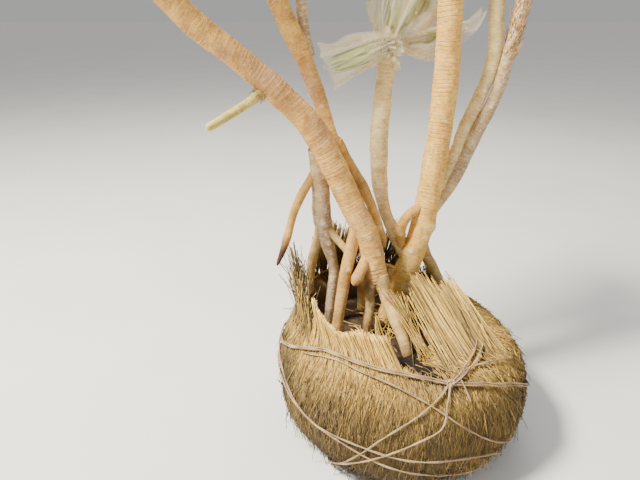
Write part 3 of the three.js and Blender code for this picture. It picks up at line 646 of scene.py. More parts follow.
# Limbs with their bark in relief
def limb(batch, points, material, sides, spacing, gap, relief, seed, flare, taper=0.0, dark=(0, 0, 1),
         knots=(), streaks=0.0):
    """One limb with ring scars gap apart, cut relief deep. Taper rounds off a free end over that length. Dark
    is a strength and the shares of the length between which it sets in. A knot is a share of the length, an
    angle, a size and a height."""
    rng = np.random.default_rng(seed)
    path, radius, at = smooth_path(points, spacing)
    _, across, other = carried_frame(path)
    length, rows = at[-1], len(path)
    turn = full_turn(sides)
    around = circles(across, other, turn)
    skin = path[:, None] + around * radius[:, None, None]

    def rough(size, number):
        return value_noise(skin, size, seed + number)

    ring_places = np.cumsum(rng.uniform(0.68, 1.36, int(length / gap / 0.68) + 16)) * gap
    sway = spots(at / 45, seed * 1.7, 0)
    lean = np.stack([value_noise(sway, 1.0, seed + number) for number in (11, 12)], -1) * gap * 0.42
    s = at[:, None] + 3 * gap + rough(26, 0) * gap * 0.3 + rough(9, 1) * gap * 0.1
    s = s + lean[:, :1] * np.cos(turn) + lean[:, 1:] * np.sin(turn)
    rings = np.interp(s, ring_places, np.arange(len(ring_places)))
    swollen = np.sin(math.pi * (rings % 1)) ** 0.6
    height = 0.6 + 0.4 * value_noise(spots(np.floor(rings) * 3.1, 0, 0), 1.0, seed + 2)
    lumps = rough(55, 3) * 2.1 + rough(20, 4) * 1.1
    kept = lerp(0.3, 1.0, smoothstep(rough(60, 9), -0.5, 0.35))
    offset = relief * kept * (1.5 * swollen * height - 0.8) + lumps * np.minimum(1, radius / 16)[:, None]
    offset = offset + rough(6, 5) * 0.3 * relief
    if streaks:
        grain = spots(np.cos(turn)[None] * 9, np.sin(turn)[None] * 9, at[:, None] / 26)
        offset = offset + streaks * value_noise(grain, 1.0, seed + 6)
    offset = offset + (radius * flare * bell(at, 26))[:, None]
    scar = np.zeros_like(offset)
    for share, angle, size, rise in knots:
        sideways = (turn - math.radians(angle) + math.pi) % (2 * math.pi) - math.pi
        away = np.hypot((at - share * length)[:, None], sideways * radius[:, None])
        offset = offset + rise * bell(away, size) - rise * 0.55 * bell(away, size * 0.4)
        scar = np.maximum(scar, np.exp(-((away / (size * 0.7)) ** 4)) * 0.7)
    shape = radius[:, None] + offset
    if taper:
        end = clamp((length - at) / taper)
        shape = shape * np.sqrt(np.clip(1 - (1 - end) ** 2, 0.004, 1))[:, None]
    tone = clamp(0.5 + 0.6 * rough(90, 7) + 0.35 * rough(24, 8)) * 0.75
    darkness = np.broadcast_to(dark[0] * smoothstep(at / length, *dark[1:])[:, None], offset.shape)
    values = {"rings": rings, "tone": tone, "scar": scar, "dark": darkness}
    for name, value in values.items():
        values[name] = np.append(value, [value[0].mean(), value[-1].mean()])
    rim = np.arange(sides)
    after, last = (rim + 1) % sides, (rows - 1) * sides
    first, final = np.full(sides, rows * sides), np.full(sides, rows * sides + 1)
    caps = np.hstack([(first, after, rim), (final, last + rim, last + after)]).T
    vertices = np.vstack([(path[:, None] + around * shape[..., None]).reshape(-1, 3), path[:1], path[-1:]])
    batch.add(vertices, grid_faces(rows, sides), caps, material, **values)


# Stems: the clump each belongs to, its bark, the gap and relief of its ring scars, and knots
STEM_PLAN = {
    "stem_main": ("main", WARM, 8.2, 0.7, [
        (0.265, 135, 15, 9), (0.24, 118, 7, 4), (0.2, 60, 9, 3), (0.5, 100, 6, 1.6), (0.11, 100, 16, 5)]),
    "bough_main_left": ("main", WARM, 8, 0.7, []),
    "bough_main_right": ("main", WARM, 8, 0.7, []),
    "stem_middle": ("main", CREAM, 9, 0.4, [(0.1, 110, 9, 4), (0.35, 60, 7, 2)]),
    "stem_left": ("left", BROWN, 7.6, 1.0, [
        (0.28, 70, 9, 2.5), (0.13, 100, 8, 2), (0.05, 80, 8, 3), (0.08, 130, 7, 2.5)]),
    "bough_left_outer": ("left", BROWN, 9, 0.9, []),
    "bough_left_inner": ("left", BROWN, 9, 0.9, []),
    "stem_prop": ("left", PALE, 8.5, 0.7, [(0.62, 90, 9, 2.5), (0.3, 60, 7, 2), (0.5, 110, 8, 2)]),
    "stem_back_left": ("left", BROWN, 7.6, 0.8, [(0.2, 90, 7, 2)]),
    "stem_back_thin": ("left", PALE, 9, 0.6, []),
    "stem_far_right": ("right", PALE, 8, 0.6, [(0.45, 80, 6, 2)]),
    "stem_right": ("right", CREAM, 8.5, 0.45, [(0.4, 90, 6, 2)]),
}
STEM_SPACING, STEM_SEED = 2.2, 100
THICK_RADIUS, THICK_SIDES, THIN_SIDES = 18, 38, 32
STEM_FLARE, STEMS_WITHOUT_FLARE = 0.16, ("stem_main", "stem_prop")
clumps = {"main": Batch(), "left": Batch(), "right": Batch()}
for number, (name, (clump, bark, gap, relief, knots)) in enumerate(STEM_PLAN.items()):
    sides = THICK_SIDES if max(point[3] for point in STEMS[name]) > THICK_RADIUS else THIN_SIDES
    flare = 0.0 if name in STEMS_WITHOUT_FLARE else STEM_FLARE
    limb(clumps[clump], STEMS[name], STEM_BARKS.index(bark), sides, STEM_SPACING, gap, relief,
         STEM_SEED + number * 10, flare, knots=knots)
for clump, batch in clumps.items():
    nodes = [name for name, plan in STEM_PLAN.items() if plan[0] == clump]
    batch.piece("bark_" + clump, "bark", STEM_BARKS, nodes)

# Roots: the bark of each and what sets it apart
ROOT_PLAN = {
    "root_left_of_stem": (TAN, dict(knots=[(0.36, 78, 8, 3.5)])),
    "root_front": (GREY, dict(dark=(0.5, 0.72, 0.95))),
    "root_centre": (GREY, dict(streaks=1.0, knots=[(0.12, 90, 7, 2.5), (0.4, 70, 7, 1.5)])),
    "root_blunt": (TAN, dict(taper=14)),
    "root_prop_left": (GREY, dict(streaks=0.8)),
    "root_prop_right": (GREY, {}),
    "root_dark_tip": (TAN, dict(taper=10, dark=(1, 0.62, 0.86))),
    "root_young": (FRESH, dict(taper=8)),
    "root_torn": (TAN, dict(taper=8, streaks=1.2, knots=[(0.8, 90, 12, 3)])),
    "root_arched": (TAN, dict(knots=[(0.66, 90, 7, 2)])),
    "root_behind_main": (GREY, {}),
    "root_back_right": (TAN, {}),
    "root_back_middle": (GREY, {}),
    "root_back_left": (TAN, {}),
}
ROOT_SIDES, ROOT_SPACING, ROOT_GAP, ROOT_RELIEF, ROOT_SEED, ROOT_FLARE = 24, 3.0, 15, 0.22, 300, 0.25
roots = Batch()
for number, (name, (bark, extra)) in enumerate(ROOT_PLAN.items()):
    limb(roots, ROOTS[name], ROOT_BARKS.index(bark), ROOT_SIDES, ROOT_SPACING, ROOT_GAP, ROOT_RELIEF,
         ROOT_SEED + number * 10, ROOT_FLARE, **extra)


def tufts(points, shares, count, lengths, outwards, radius, bark):
    """Short fibres that stand off a limb between two shares of its length."""
    path, size, _ = smooth_path(points, 3)
    along, across, other = carried_frame(path)
    index = np.clip((rng.uniform(*shares, count) * (len(path) - 1)).astype(int), 0, len(path) - 1)
    turn = rng.uniform(0, 2 * math.pi, count)
    out = across[index] * np.cos(turn)[:, None] + other[index] * np.sin(turn)[:, None]
    start = path[index] + out * size[index][:, None] * 0.96
    forwards = along[index] * rng.uniform(0.5, 1.2, count)[:, None]
    way = unit(forwards + out * (outwards * rng.uniform(0.3, 1, count))[:, None])
    t = np.linspace(0, 1, 4)[None, :, None]
    centres = start[:, None] + way[:, None] * rng.uniform(*lengths, count)[:, None, None] * t
    thin = radius * (1 - 0.75 * t[..., 0])
    tubes(roots, centres, thin, out, material=ROOT_BARKS.index(bark), tone=rng.random(count))


rng = np.random.default_rng(FIBRE_SEED)
tufts(STEMS["stem_far_right"], (0.62, 0.98), 420, (10, 26), 0.5, 0.8, TAN)
tufts(ROOTS["root_torn"][::-1], (0.0, 0.06), 60, (6, 16), 0.3, 1.3, PALE)
tufts(ROOTS["root_young"], (0.0, 0.16), 90, (8, 22), 0.8, 0.7, PALE)
roots.piece("prop_roots", "prop_root_bark", ROOT_BARKS, list(ROOTS))


# The root ball: a woven-looking core, then straws laid over it
def ball_core(columns=200, rows=110):
    batch = Batch()
    ring = np.linspace(0.0, LAST_RING, rows)
    ring_grid, angle_grid = np.meshgrid(ring, np.arange(columns) * 360 / columns, indexing="ij")
    lift = -3.0 + 1.6 * value_noise(spots(angle_grid * 0.9, ring_grid * 0.8, 0), 1.0, 5)
    places = over_ball(angle_grid, ring_grid, np.where(ring_grid < 1.4, 0.0, lift))
    places[..., 2] = np.maximum(0.0, places[..., 2])
    clods = value_noise(places, 14, 6) * 5 + value_noise(places, 5, 7) * 2
    places[..., 2] += clods * smoothstep(ring_grid, 10.2, 11.2)
    places[0] = places[0].mean(0)
    places[-1] = places[-1].mean(0)
    is_earth = np.repeat((ring[:-1] > EARTH_FROM).astype(int), columns)
    tint = clamp(0.45 + 0.5 * value_noise(spots(angle_grid, ring_grid * 0.5, 0), 1.2, 8))
    # Painted shade: the whole core a little darker, more inside the mouth and most in the gap over the notch.
    shade = 0.25 + 0.5 * smoothstep(ring_grid, 9.3, 10.2)
    shade = clamp(shade + 0.8 * near_gap(angle_grid, 24) * smoothstep(ring_grid, 6.3, 6.9))
    batch.add(places, grid_faces(rows, columns), material=is_earth, tint=tint.ravel(), dirt=shade.ravel())
    batch.piece("straw_mat_core", "straw_ball", [mat_shade, earth_material()], ["root_ball"])


ball_core()


def keep_off_ground(centres, radius):
    centres[..., 2] = np.maximum(radius + 0.4, centres[..., 2])


def wrap_straws(batch, count, rings, lengths, lifts, slope, flare, radius):
    """Straws combed down the ball: rings is where their middles lie, flare how far their ends stand off."""
    angle = rng.uniform(-180, 180, count)
    middle = rng.uniform(*rings, count)
    length = rng.uniform(*lengths, count) / RING_STEP
    t = np.linspace(0, 1, 5)[None, :]
    ring = middle[:, None] + (t - 0.5) * length[:, None]
    top = WRAP_TOP - GAP_DEPTH * near_gap(angle) - 0.5 * rng.random(count) ** 2
    ring = np.maximum(WRAP_BOTTOM, ring - np.maximum(0, ring[:, -1] - top)[:, None])
    flow = value_noise(round_spots(angle, 3, middle * 0.5), 1, 31)
    to_right = bell(from_angle(angle, RIGHT_LEAN_ANGLE), RIGHT_LEAN_WIDTH)
    lean = RIGHT_LEAN * to_right * smoothstep(middle, 3.2, 6.5)
    drift = (flow * slope + rng.normal(0, slope * 0.4, count) - lean) * length
    bend = rng.normal(0, 0.5, count)[:, None] * np.sin(math.pi * t)
    turned = angle[:, None] + drift[:, None] * (t - 0.5) + bend
    lift = rng.uniform(*lifts, count)[:, None] + rng.random(count)[:, None] ** 4 * flare * (1 - t) ** 3
    lift = lift + rng.random(count)[:, None] ** 5 * flare * 0.8 * t**3
    centres = over_ball(turned, ring, lift)
    keep_off_ground(centres, radius)
    size = rng.uniform(0.75, 1.2, count)[:, None] * radius
    out = ball_normal(angle, np.clip(middle, 1.5, 8.5))
    tubes(batch, centres, size, out, **straw_values(angle, middle, ring))


def straw_values(angle, middle, ring):
    """Tint by small locks of straws; darkening by painted shade, which grows towards the bottom, sets in
    below the top band and is strongest in the gap over the notch, and by grime in broad patches.
    """
    count = len(angle)
    around = round_spots(angle, 38, middle * 1.2)
    tint = clamp(0.5 + 0.22 * value_noise(around, 1.0, 41) + rng.normal(0, 0.2, count))
    patches = value_noise(around * (0.09, 0.09, 0.8), 1.0, 42)
    # Painted shade: low darkens the lower ball, notch the gap over the rim's notch, and the next term
    # everything below the top band; the patches are grime.
    low = 0.56 * smoothstep(-ring, -7.2, -4.8) + 0.32 * smoothstep(-ring, -3.8, -1.6)
    notch = 0.75 * near_gap(angle)[:, None] * smoothstep(ring, 6.2, 7.3)
    shade_below_top = 0.28 * smoothstep(-ring, -7.6, -6.4)
    dirt = low * (1 + 0.35 * patches[:, None]) + 0.12 * patches[:, None] + shade_below_top + notch
    return {"tint": tint, "dirt": clamp(dirt + rng.normal(0, 0.09, count)[:, None])}


def loose_straws(batch, count, rings, lengths, outwards, downwards, radius=0.75):
    """Cut ends that stand off the ball."""
    angle = rng.uniform(-180, 180, count)
    ring = rng.uniform(*rings, count)
    start = over_ball(angle, ring, np.full(count, 2.0))
    out = ball_normal(angle, ring)
    down = unit(ball_point(angle, ring - 0.3) - ball_point(angle, ring + 0.3))
    way = down * rng.uniform(*downwards, count)[:, None] + out * (rng.random(count) ** 2 * outwards)[:, None]
    way = unit(way + np.cross(out, down) * rng.normal(0, 0.28, count)[:, None])
    t = np.linspace(0, 1, 4)[None, :, None]
    length = rng.uniform(*lengths, count)[:, None, None]
    sag = np.array([0, 0, -1.0]) * length * 0.12 * t**2
    centres = start[:, None] + way[:, None] * length * t + sag
    keep_off_ground(centres, radius)
    size = rng.uniform(0.7, 1.15, count)[:, None] * radius
    tubes(batch, centres, size, out, **straw_values(angle, ring, np.repeat(ring[:, None], 4, 1)))


rng = np.random.default_rng(STRAW_SEED)
# Each layer: how many, rings, lengths, then lifts, slope, flare and radius, or how its ends stand off
for name, laid, plans in (
    ("wrap_straws_under", wrap_straws, [(4500, (1.6, 7.9), (180, 330), (-0.4, 1.4), 3, 3, 1.15)]),
    ("wrap_straws_over", wrap_straws, [(7300, (1.8, 8.0), (150, 310), (1.0, 3.0), 4, 6, 0.85)]),
    ("loose_straws", loose_straws, [
        (1300, (1.7, 8.0), (14, 46), 0.4, (0.8, 1.2)),
        (420, (2.0, 7.6), (12, 34), 0.6, (-1.2, -0.6)),
        (900, (1.6, 3.6), (16, 56), 0.6, (0.6, 1.2)),
    ]),
):
    batch = Batch()
    for plan in plans:
        laid(batch, *plan)
    batch.piece(name, "straw_ball", [straw_gold])


# Straw collars that stand up round the stems
def collar(batch, sweep, ring, tips, thick, straws, sheaves, ragged, splay, slim, leave, shade=0.0,
           fold=(9, 1), sparse=0.0, clean=(0.1, 0.66)):
    """A standing band of straws in sheaves: each sheaf has its own height, lean and tint. Leave is how many
    rings lower the outermost straws leave the ball. A fold is a shorter stretch with painted shade, and the
    band thins out over its sparse first part. Shade is painted shade over the whole band, and each straw's
    painted shade fades out between two shares of its length."""
    tip_line, _, _ = smooth_path(tips, 3)
    in_band = rng.random(straws)
    in_band = np.where(rng.random(straws) < 0.3 + in_band / max(sparse, 0.01), in_band, 0.7 * in_band + 0.3)
    sheaf = np.clip((in_band * sheaves).astype(int), 0, sheaves - 1)
    across = in_band * sheaves - sheaf - 0.5
    angle = lerp(*sweep, clamp((sheaf + 0.5 + across * 1.3) / sheaves))
    tip_share = clamp((sheaf + 0.5 + across * 0.86) / sheaves + rng.normal(0, 0.012, straws))
    tip_at = tip_share * (len(tip_line) - 1)
    tip = np.stack([np.interp(tip_at, np.arange(len(tip_line)), tip_line[:, k]) for k in range(3)], -1)
    rise = rng.uniform(-0.4, 0.1, sheaves)[sheaf] * ragged
    sway = (rng.normal(0, 0.8, (sheaves, 3)) * splay)[sheaf]
    depth = rng.random(straws)
    leaving = ring - leave * depth
    base = ball_point(angle, leaving)
    out = unit(ball_normal(angle, np.full(straws, ring - 1.0)) * (1, 1, 0))
    start_ring = leaving - rng.uniform(0.8, 3.2, straws)
    t = np.linspace(0, 1, 9)[None, :]
    on_ball = 0.4
    up = clamp(t / on_ball)
    lean = rng.normal(0, 1.4, straws) + 4.0 * bell(angle - RIGHT_LEAN_ANGLE, RIGHT_LEAN_WIDTH)
    turned = angle[:, None] + lean[:, None] * (leaving - start_ring)[:, None] * (1 - up)
    lift = lerp(-1.0, 2.5 + depth[:, None] * 3, smoothstep(up, 0, 0.6))
    lower = over_ball(turned, lerp(start_ring[:, None], leaving[:, None], up), lift)
    h = clamp((t - on_ball) / (1 - on_ball))[..., None]
    in_shaded_fold = bell(in_band - fold[0], fold[1])
    reach = 1.04 + (rise - 0.2 * in_shaded_fold - ragged * rng.random(straws) ** 1.8)[:, None]
    astray = np.clip(rng.normal(0, 1, (straws, 3)), -1.7, 1.7)
    loose_end = astray * splay * (0.4 + 1.8 * rng.random(straws)[:, None] ** 3) + sway
    end = base + (tip - base) * reach + loose_end
    belly = lerp(0.3, 1, smoothstep(h, 0, 0.35)) * lerp(1, 0.4, h)
    upper = lerp(base[:, None], end[:, None], h) + out[:, None] * (2 + depth[:, None, None] * thick * belly)
    centres = np.where((t < on_ball)[..., None], lower, upper)
    for _ in range(3):
        centres[:, 1:-1] = centres[:, 1:-1] * 0.5 + (centres[:, :-2] + centres[:, 2:]) * 0.25
    size = rng.uniform(0.75, 1.25, straws)[:, None] * slim
    tint = clamp(rng.normal(0.7, 0.24, straws) + rng.uniform(-0.12, 0.12, sheaves)[sheaf])
    # Painted shade: the inner straws of the band, the fold and the lower part of each straw are darker; the
    # last random term is grime.
    inner = 0.75 * (1 - depth) ** 1.5 + 0.45 * in_shaded_fold + 0.4 * rng.random(straws) ** 4
    dirt = clamp(shade + 0.46 * (1 - smoothstep(t, *clean)) + inner[:, None])
    tubes(batch, centres, size, out, tint=tint, dirt=dirt)


def stray_straws(batch, count, foot, foot_spread, head, head_spread, radius):
    """Single straws between two loose places, sagging a little."""
    a = np.array(foot, float) + rng.normal(0, 1, (count, 3)) * foot_spread
    b = np.array(head, float) + rng.normal(0, 1, (count, 3)) * head_spread
    t = np.linspace(0, 1, 6)[None, :, None]
    centres = lerp(a[:, None], b[:, None], t)
    centres[..., 2] -= rng.uniform(0, 8, count)[:, None] * np.sin(math.pi * t[..., 0])
    size = rng.uniform(0.8, 1.2, count)[:, None] * radius
    tint, dirt = rng.uniform(0.2, 1, count), rng.uniform(0, 0.6, count)
    tubes(batch, centres, size, np.tile([0.3, 1.0, 0.2], (count, 1)), tint=tint, dirt=dirt)


collars = Batch()
for plan in COLLARS.values():
    collar(collars, **plan)
# Strays: how many, the foot and its spread, the head and its spread, and the radius
for stray in (
    (16, (20, -192, 296), (14, 6, 6), (-16, -58, 366), (12, 10, 12), 0.9),
    (9, (34, -176, 304), (8, 6, 6), (-30, -48, 378), (8, 8, 8), 1.0),
    (5, (26, -198, 292), (10, 4, 5), (-36, -56, 372), (6, 8, 8), 1.1),
    (3, (10, -120, 322), (10, 6, 6), (-76, -62, 398), (6, 8, 6), 1.2),
    (8, (-92, -176, 330), (12, 4, 3), (-128, -150, 352), (8, 6, 4), 1.3),
    (7, (-78, -150, 318), (8, 6, 4), (-84, -120, 356), (5, 5, 6), 1.3),
    (4, (-62, -172, 322), (5, 4, 4), (-50, -150, 350), (5, 5, 6), 1.1),
    (10, (-90, -150, 300), (40, 10, 5), (-60, -40, 282), (40, 20, 8), 1.2),
    (14, (-110, 60, 268), (70, 60, 4), (-20, 20, 274), (60, 60, 6), 1.2),
    (6, (180, -52, 276), (16, 36, 4), (232, -70, 284), (10, 36, 8), 0.8),
):
    stray_straws(collars, *stray)
collars.piece("collar_straws", "straw", [straw_gold], list(COLLARS))


# Twine in twos: each run is a pair of thin strands that wind slowly round each other
def strands(batch, path, strand=1.15, apart=0.95, turn_length=130, step=3.2, sides=6):
    path, _, at = smooth_path(path, step)
    _, across, other = carried_frame(path)
    turn = full_turn(sides)
    for side in (0, 1):
        phase = 2 * math.pi * at / turn_length + side * math.pi + rng.uniform(0, 0.6)
        centres = path + apart * (across * np.cos(phase)[:, None] + other * np.sin(phase)[:, None])
        ply = strand * (1 + 0.2 * np.cos(2 * (turn[None, :] - at[:, None] * 2 * math.pi / 14)))
        vertices = centres[:, None] + circles(across, other, turn) * ply[..., None]
        tint = clamp(0.5 + 0.5 * value_noise(vertices, 30, 77 + side))
        batch.add(vertices, grid_faces(len(path), sides), end_caps(len(path), sides), tint=tint.ravel())


def run_on_ball(pairs, lift):
    """A line over the ball through pairs of angle and ring."""
    angle, ring = np.array(pairs, float).T
    line, _, _ = smooth_path(np.column_stack([angle, ring * 20, 0 * angle]), 3)
    return over_ball(line[:, 0], line[:, 1] / 20, np.full(len(line), lift))


twine = Batch()
for name, (middle, tilt, towards, lowest) in TWINE_RINGS.items():
    angle = np.linspace(-205, 155, 121)
    ring = middle + tilt * np.cos(np.radians(angle - towards))
    ring = lowest + (np.sqrt((ring - lowest) ** 2 + 0.2) + ring - lowest) / 2
    if "main" in name:
        ring = ring + np.interp(angle, *MAIN_SAG)
    over_fringe = bell(angle - FRINGE_ANGLE, FRINGE_WIDTH) * (ring > 5)
    strands(twine, over_ball(angle, ring, TWINE_LIFT + FRINGE_LIFT * over_fringe))
for number, pairs in enumerate(FRONT_RUNS):
    strands(twine, run_on_ball(pairs, TWINE_LIFT + 0.9 * (number % 3)))
knot_out = ball_normal(np.float64(KNOT_ANGLE), np.float64(KNOT_RING))
knot_side = unit(np.cross(knot_out, (0, 0, 1.0)))
u = np.linspace(0, 2 * math.pi, 60)[:, None]
trefoil = (
    knot_side * ((np.sin(u) + 2 * np.sin(2 * u)) * KNOT_SIZE)
    + np.cross(knot_side, knot_out) * ((np.cos(u) - 2 * np.cos(2 * u)) * KNOT_SIZE)
    + knot_out * (-np.sin(3 * u) * KNOT_DEPTH)
)
knot_centre = over_ball(KNOT_ANGLE, KNOT_RING, KNOT_LIFT)
strands(twine, knot_centre + trefoil, strand=1.3, apart=1.1, turn_length=40, step=2.4)
twine.piece("twine_wraps", "twine", [twine_look], [*TWINE_RINGS, "twine_slanting", "twine_knot"])


# Netted leaf heads
class Bunch:
    """The bag rule of one leaf head: where its skin is at a height share and an angle. Start is the radius at
    the tie, and a tied bunch hangs on another head instead of standing on a limb."""

    def __init__(self, begin, axis, length, start, girth, leaves, seed, tied=False, pinched=False):
        self.begin = np.array(begin, float)
        self.along = unit(np.array(axis, float))
        self.side = unit(np.cross((0, 1, 0), self.along))
        self.other = np.cross(self.along, self.side)
        self.length, self.start, self.girth, self.leaves, self.seed = length, start, girth, leaves, seed
        self.tied, self.pinched, self.fine = tied, pinched, leaves > FINE_HEAD
        self.open_cone = tied and not pinched
        self.bag = length * (0.7 if pinched else 0.66)

    def bulge(self, h):
        h = np.asarray(h, float)
        opening = 1 - smoothstep(h, 0.5, 0.85) * 0.72 if self.pinched else 1 - 0.32 * np.clip(h, 0, 1.2) ** 3
        return lerp(self.start, self.girth, smoothstep(h, 0, 0.45)) * opening

    def place(self, far, angle, radius):
        far, angle, radius = (part[..., None] for part in np.broadcast_arrays(far, angle, radius))
        out = self.begin + self.along * far
        return out + self.side * (radius * np.cos(angle)) + self.other * (radius * np.sin(angle))


def strap_leaves(batch, bunch):
    """Strap leaves with a folded midrib, rooted in the bag and arching out of its mouth."""
    count, tied, fine, pinched = bunch.leaves, bunch.tied, bunch.fine, bunch.pinched
    i = np.arange(count)
    ring = np.sqrt((i + 0.5) / count)
    angle = i * math.pi * (3 - math.sqrt(5)) + rng.uniform(-0.3, 0.3, count)
    root_share = rng.uniform(0.03 if fine else 0.12, 0.7, count)
    top = bunch.length * rng.uniform(*((0.4, 0.62) if pinched else (0.86, 0.99)), count)
    top = top - ring * bunch.length * 0.08 * rng.random(count)
    root_far = np.minimum(root_share * bunch.bag, top * 0.6)
    t = np.linspace(0, 1, 10)[None, :]
    far = lerp(root_far[:, None], top[:, None], t)
    bend = rng.uniform(0.85, 1.15, count)
    tip_out = bunch.bulge(0.85 if pinched else 1.0) * ring * bend * (0.55 if tied else 1.5)
    root_out = bunch.bulge(root_share) * ring * (0.4 if tied else 0.72)
    droop = (rng.random(count) ** 2 * (0 if tied else 50))[:, None] * smoothstep(t, 0.6, 1.0)
    swirl = rng.normal(0, 0.16, count)[:, None] * t**2
    out = lerp(root_out[:, None], tip_out[:, None], t**1.3)
    centre = bunch.place(far - droop, angle[:, None] + swirl, out)
    outward = unit(bunch.place(0, angle, 1.0) - bunch.place(0, angle, 0.0))
    along = unit(np.gradient(centre, axis=1))
    flat = unit(np.cross(along, outward[:, None]))
    widest = rng.uniform(*((4, 7) if tied or fine else (7.5, 12)), count)
    pointed = 1 - clamp((t - 0.45) / 0.55) ** 1.7
    half = widest[:, None] * lerp(0.55, 1, smoothstep(t, 0, 0.3)) * pointed + 0.4
    fold = 0.36
    raised = centre + np.cross(flat, along) * (half * fold)[..., None]
    vertices = np.stack([raised - flat * half[..., None], centre, raised + flat * half[..., None]], 2)
    one = grid_faces(t.size, 3, closed=False)
    spray = rng.integers(0, PALE_LEAF, count)
    looks = np.where(rng.random(count) < (0.34 if fine else 0.16), PALE_LEAF, spray)
    batch.add(vertices, copies(one, count, t.size * 3), material=np.repeat(looks, len(one)))


NET_SKIRT = 0.10  # how far the gathered gauze hangs below the tie, as a share of the bag


def net_skin(bunch, h, angle, layer=0):
    """Places on the gauze at height shares and angles: pleats near the tie, soft folds, an uneven mouth."""
    circle = spots(np.cos(angle) * 1.2, np.sin(angle) * 1.2, h * 2.2)
    wobble = value_noise(circle, 0.8, bunch.seed + layer * 5)
    fine = value_noise(circle, 0.36, bunch.seed + layer * 5 + 1)
    crease = 1 - np.abs(value_noise(circle * (1, 1, 0.35), 0.3, bunch.seed + 3))
    pleats = np.sin(angle * 15 + wobble * 2.2 + layer)
    fans = np.sin(angle * 7 + bunch.seed + wobble * 1.5)
    girth = lerp(bunch.start, bunch.girth, clamp(h) ** 0.8) if bunch.open_cone else bunch.bulge(clamp(h))
    radius = girth * (1 + 0.12 * clamp(h * 3) * fans)
    radius = radius * (1 + 0.22 * bell(h, 0.3) * pleats) + (wobble * 7 + fine * 3) * smoothstep(h, 0.02, 0.3)
    radius = radius - 7 * crease**4 * smoothstep(h, 0.1, 0.4)
    radius = radius * lerp(1, 0.84, bell(h, 0.03)) + smoothstep(-h, 0.0, NET_SKIRT) * (8 + 6 * pleats)
    radius = radius - 1.5 - 4 * layer
    reach, uneven, squash = bunch.bag, 1, 1.0
    if bunch.open_cone:
        reach, uneven, squash = bunch.length, 0.5, 1 - 0.5 * smoothstep(h, 0.15, 0.9) * np.sin(angle) ** 2
    mouth = smoothstep(h, 0.7, 1.0) * (fine * 9 + wobble * 20) * uneven
    return bunch.place(h * reach + mouth, angle, radius * squash)


def net_bag(batch, bunch, layer, turns=96):
    """The gauze of one bunch. Layer 1 is a short inner fold beside the tie."""
    top, rows = ((1.0, 36), (0.34, 16))[layer]
    h = np.linspace(-NET_SKIRT, top, rows)[:, None]
    batch.add(net_skin(bunch, h, full_turn(turns)[None, :], layer), grid_faces(rows, turns))


def net_folds(batch, bunch, count=16, rows=18):
    """Narrow doubled folds of gauze that run up the bag from the tie, each with a ridge along its middle."""
    for _ in range(count):
        h = np.linspace(-0.04, rng.uniform(0.45, 1.0), rows)[:, None]
        middle = rng.uniform(0, 2 * math.pi) + rng.normal(0, 0.35) * h
        middle = middle + 0.06 * np.sin(h * 9 + rng.uniform(0, 6))
        half = rng.uniform(0.05, 0.13) * np.sin(math.pi * clamp(h / h[-1] * 0.9 + 0.1)) + 0.01
        angle = middle + half * np.array([[-1.0, 0.0, 1.0]])
        ridge = unit(bunch.place(0.0, angle, 1.0) - bunch.begin) * np.array([0.8, 3.2, 0.8])[None, :, None]
        batch.add(net_skin(bunch, h, angle) + ridge, grid_faces(rows, 3, closed=False))


def net_tail(batch, begin, way, length, width, crumpled=1.0, rows=14, columns=7):
    """A loose crumpled end of gauze that hangs or sticks out from a tie."""
    t = np.linspace(0, 1, rows)[:, None]
    across = np.linspace(-1, 1, columns)[None, :]
    way = unit(np.array(way, float))
    side = unit(np.cross(way, (0.2, 1.0, 0.1)))
    spread = width * (0.35 + 0.65 * np.sin(math.pi * clamp(t * 0.8 + 0.12)))
    phase = rng.uniform(0, 6)
    crumple = np.sin(across * 5 + phase + t * 4) * 0.28 + np.sin(across * 9 + t * 7) * 0.1
    places = (
        np.array(begin, float)
        + way * (t * length * (1 + 0.08 * np.sin(across * 4 + phase)))[..., None]
        + side * (across * spread)[..., None]
        + np.cross(way, side) * (crumpled * width * crumple)[..., None]
    )
    batch.add(places, grid_faces(rows, columns, closed=False))


def net_rosette(batch, centre, radius, rows=20, columns=48):
    """Crumpled folds of gauze bunched round a knot, as one lumpy body."""
    v = np.linspace(-1, 1, rows)[:, None] * math.pi / 2 * 0.98
    turn = full_turn(columns)[None, :]
    way = spots(np.cos(v) * np.cos(turn), np.cos(v) * np.sin(turn), np.sin(v))
    creases = np.abs(value_noise(way * 2.1, 1.0, 611)) * 0.7 + 0.3 * value_noise(way * 5, 1.0, 612)
    places = np.array(centre, float) + way * (radius * (0.62 + 0.62 * creases))[..., None]
    batch.add(places, grid_faces(rows, columns))


bunches = []
for number, (limb_name, axis, length, girth, count) in enumerate(HEADS.values()):
    tip = STEMS[limb_name][-1]
    bunches.append(Bunch(tip[:3], axis, length, tip[3] + 5, girth, count, HEAD_SEED + number))
for number, (begin, end, start, girth, count, pinched) in enumerate(SIDE_BUNCHES.values()):
    axis = np.array(end, float) - np.array(begin, float)
    length = np.linalg.norm(axis)
    bunches.append(Bunch(begin, axis, length, start, girth, count, SIDE_SEED + number, True, pinched))
leaves, net, ties = Batch(), Batch(), Batch()
for bunch in bunches:
    strap_leaves(leaves, bunch)
    for layer in (0,) if bunch.fine else (0, 1):
        net_bag(net, bunch, layer)
    net_folds(net, bunch)
    u = np.linspace(0, TIE_TURNS * 2 * math.pi, 70)
    winding = bunch.place(4 + u * 0.9, u, bunch.start * 0.98 + 1.5 * np.sin(u * 0.7))
    strands(ties, winding, strand=1.1, apart=1.1, turn_length=40, step=6)
    for turn_at in (0.6, 2.9):
        hang = bunch.place(2.0, turn_at, bunch.start * 0.9)
        net_tail(net, hang, (0.3 * math.cos(turn_at), 0.3 * math.sin(turn_at), -1), 34, 8)
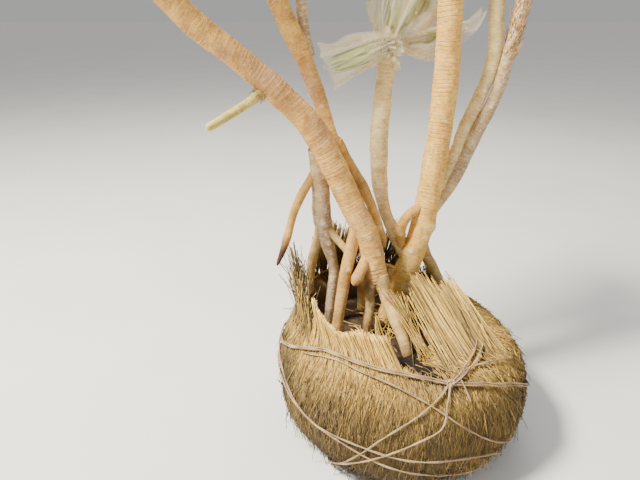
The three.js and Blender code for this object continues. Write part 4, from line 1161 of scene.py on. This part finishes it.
# The loose end of the pinched bunch, then the knot that holds both side bunches
net_tail(net, (108, 150, 916), (0.6, 0.1, 0.78), 78, 15, crumpled=0.2)
net_rosette(net, (-55, 92, 912), 30)
net_rosette(net, (-40, 80, 905), 19)
for way in ((-0.5, -0.7, -0.4), (0.5, -0.8, -0.3), (0.2, -0.9, 0.5), (-0.3, -0.8, 0.6)):
    net_tail(net, (-54, 84, 912), way, 40, 14)
leaves.piece("strap_leaves", "netted_leaves", leaf_looks, [*HEADS, *SIDE_BUNCHES])
net.piece("net_gauze", "netted_leaves", [net_material()])
ties.piece("net_ties", "twine", [tie_look])

# Floor and light
HALF_FLOOR = 60.0
pale_floor = Shader("pale_floor", 0.9)
pale_floor.colour(pale_floor.ramp(pale_floor.noise(2, 3), (0.3, (206, 204, 200)), (0.7, (212, 210, 206))))
floor_mesh = bpy.data.meshes.new("floor")
corners = [(x * HALF_FLOOR, y * HALF_FLOOR, 0) for x, y in ((-1, -1), (1, -1), (1, 1), (-1, 1))]
floor_mesh.from_pydata(corners, [], [(0, 1, 2, 3)])
floor_mesh.materials.append(pale_floor.material)
floor = show("floor", floor_mesh)


def area_light(name, place, target, size, power, colour):
    data = bpy.data.lights.new(name, "AREA")
    data.shape = "DISK"
    data.size, data.energy, data.color = size, power, colour
    light = show(name, data)
    light.location = place
    light.rotation_mode = "QUATERNION"
    light.rotation_quaternion = (Vector(target) - Vector(place)).to_track_quat("-Z", "Y")


area_light("key", (-2.3, -0.7, 3.6), (-0.1, 0, 0.6), 0.85, 680, (1.0, 0.94, 0.83))
area_light("fill", (2.6, -2.6, 2.2), (0, 0, 0.6), 2.6, 24, (0.93, 0.96, 1.0))
area_light("back", (0.8, 2.8, 3.0), (0, 0, 0.9), 2.2, 60, (1.0, 0.98, 0.95))
even = bpy.data.lights.new("even", "SUN")
even.energy, even.angle = 0.45, math.radians(120)
show("even", even)
world = bpy.data.worlds.new("studio")
world.use_nodes = True
sky_nodes, sky_links = world.node_tree.nodes, world.node_tree.links
height = sky_nodes.new("ShaderNodeSeparateXYZ")
sky_links.new(sky_nodes.new("ShaderNodeTexCoord").outputs["Generated"], height.inputs[0])
sky = sky_nodes.new("ShaderNodeValToRGB")
sky.color_ramp.elements[0].color = (0.42, 0.418, 0.414, 1)
sky.color_ramp.elements[1].color = (0.62, 0.62, 0.63, 1)
sky_links.new(height.outputs["Z"], sky.inputs["Fac"])
sky_links.new(sky.outputs["Color"], sky_nodes["Background"].inputs["Color"])
bpy.context.scene.world = world
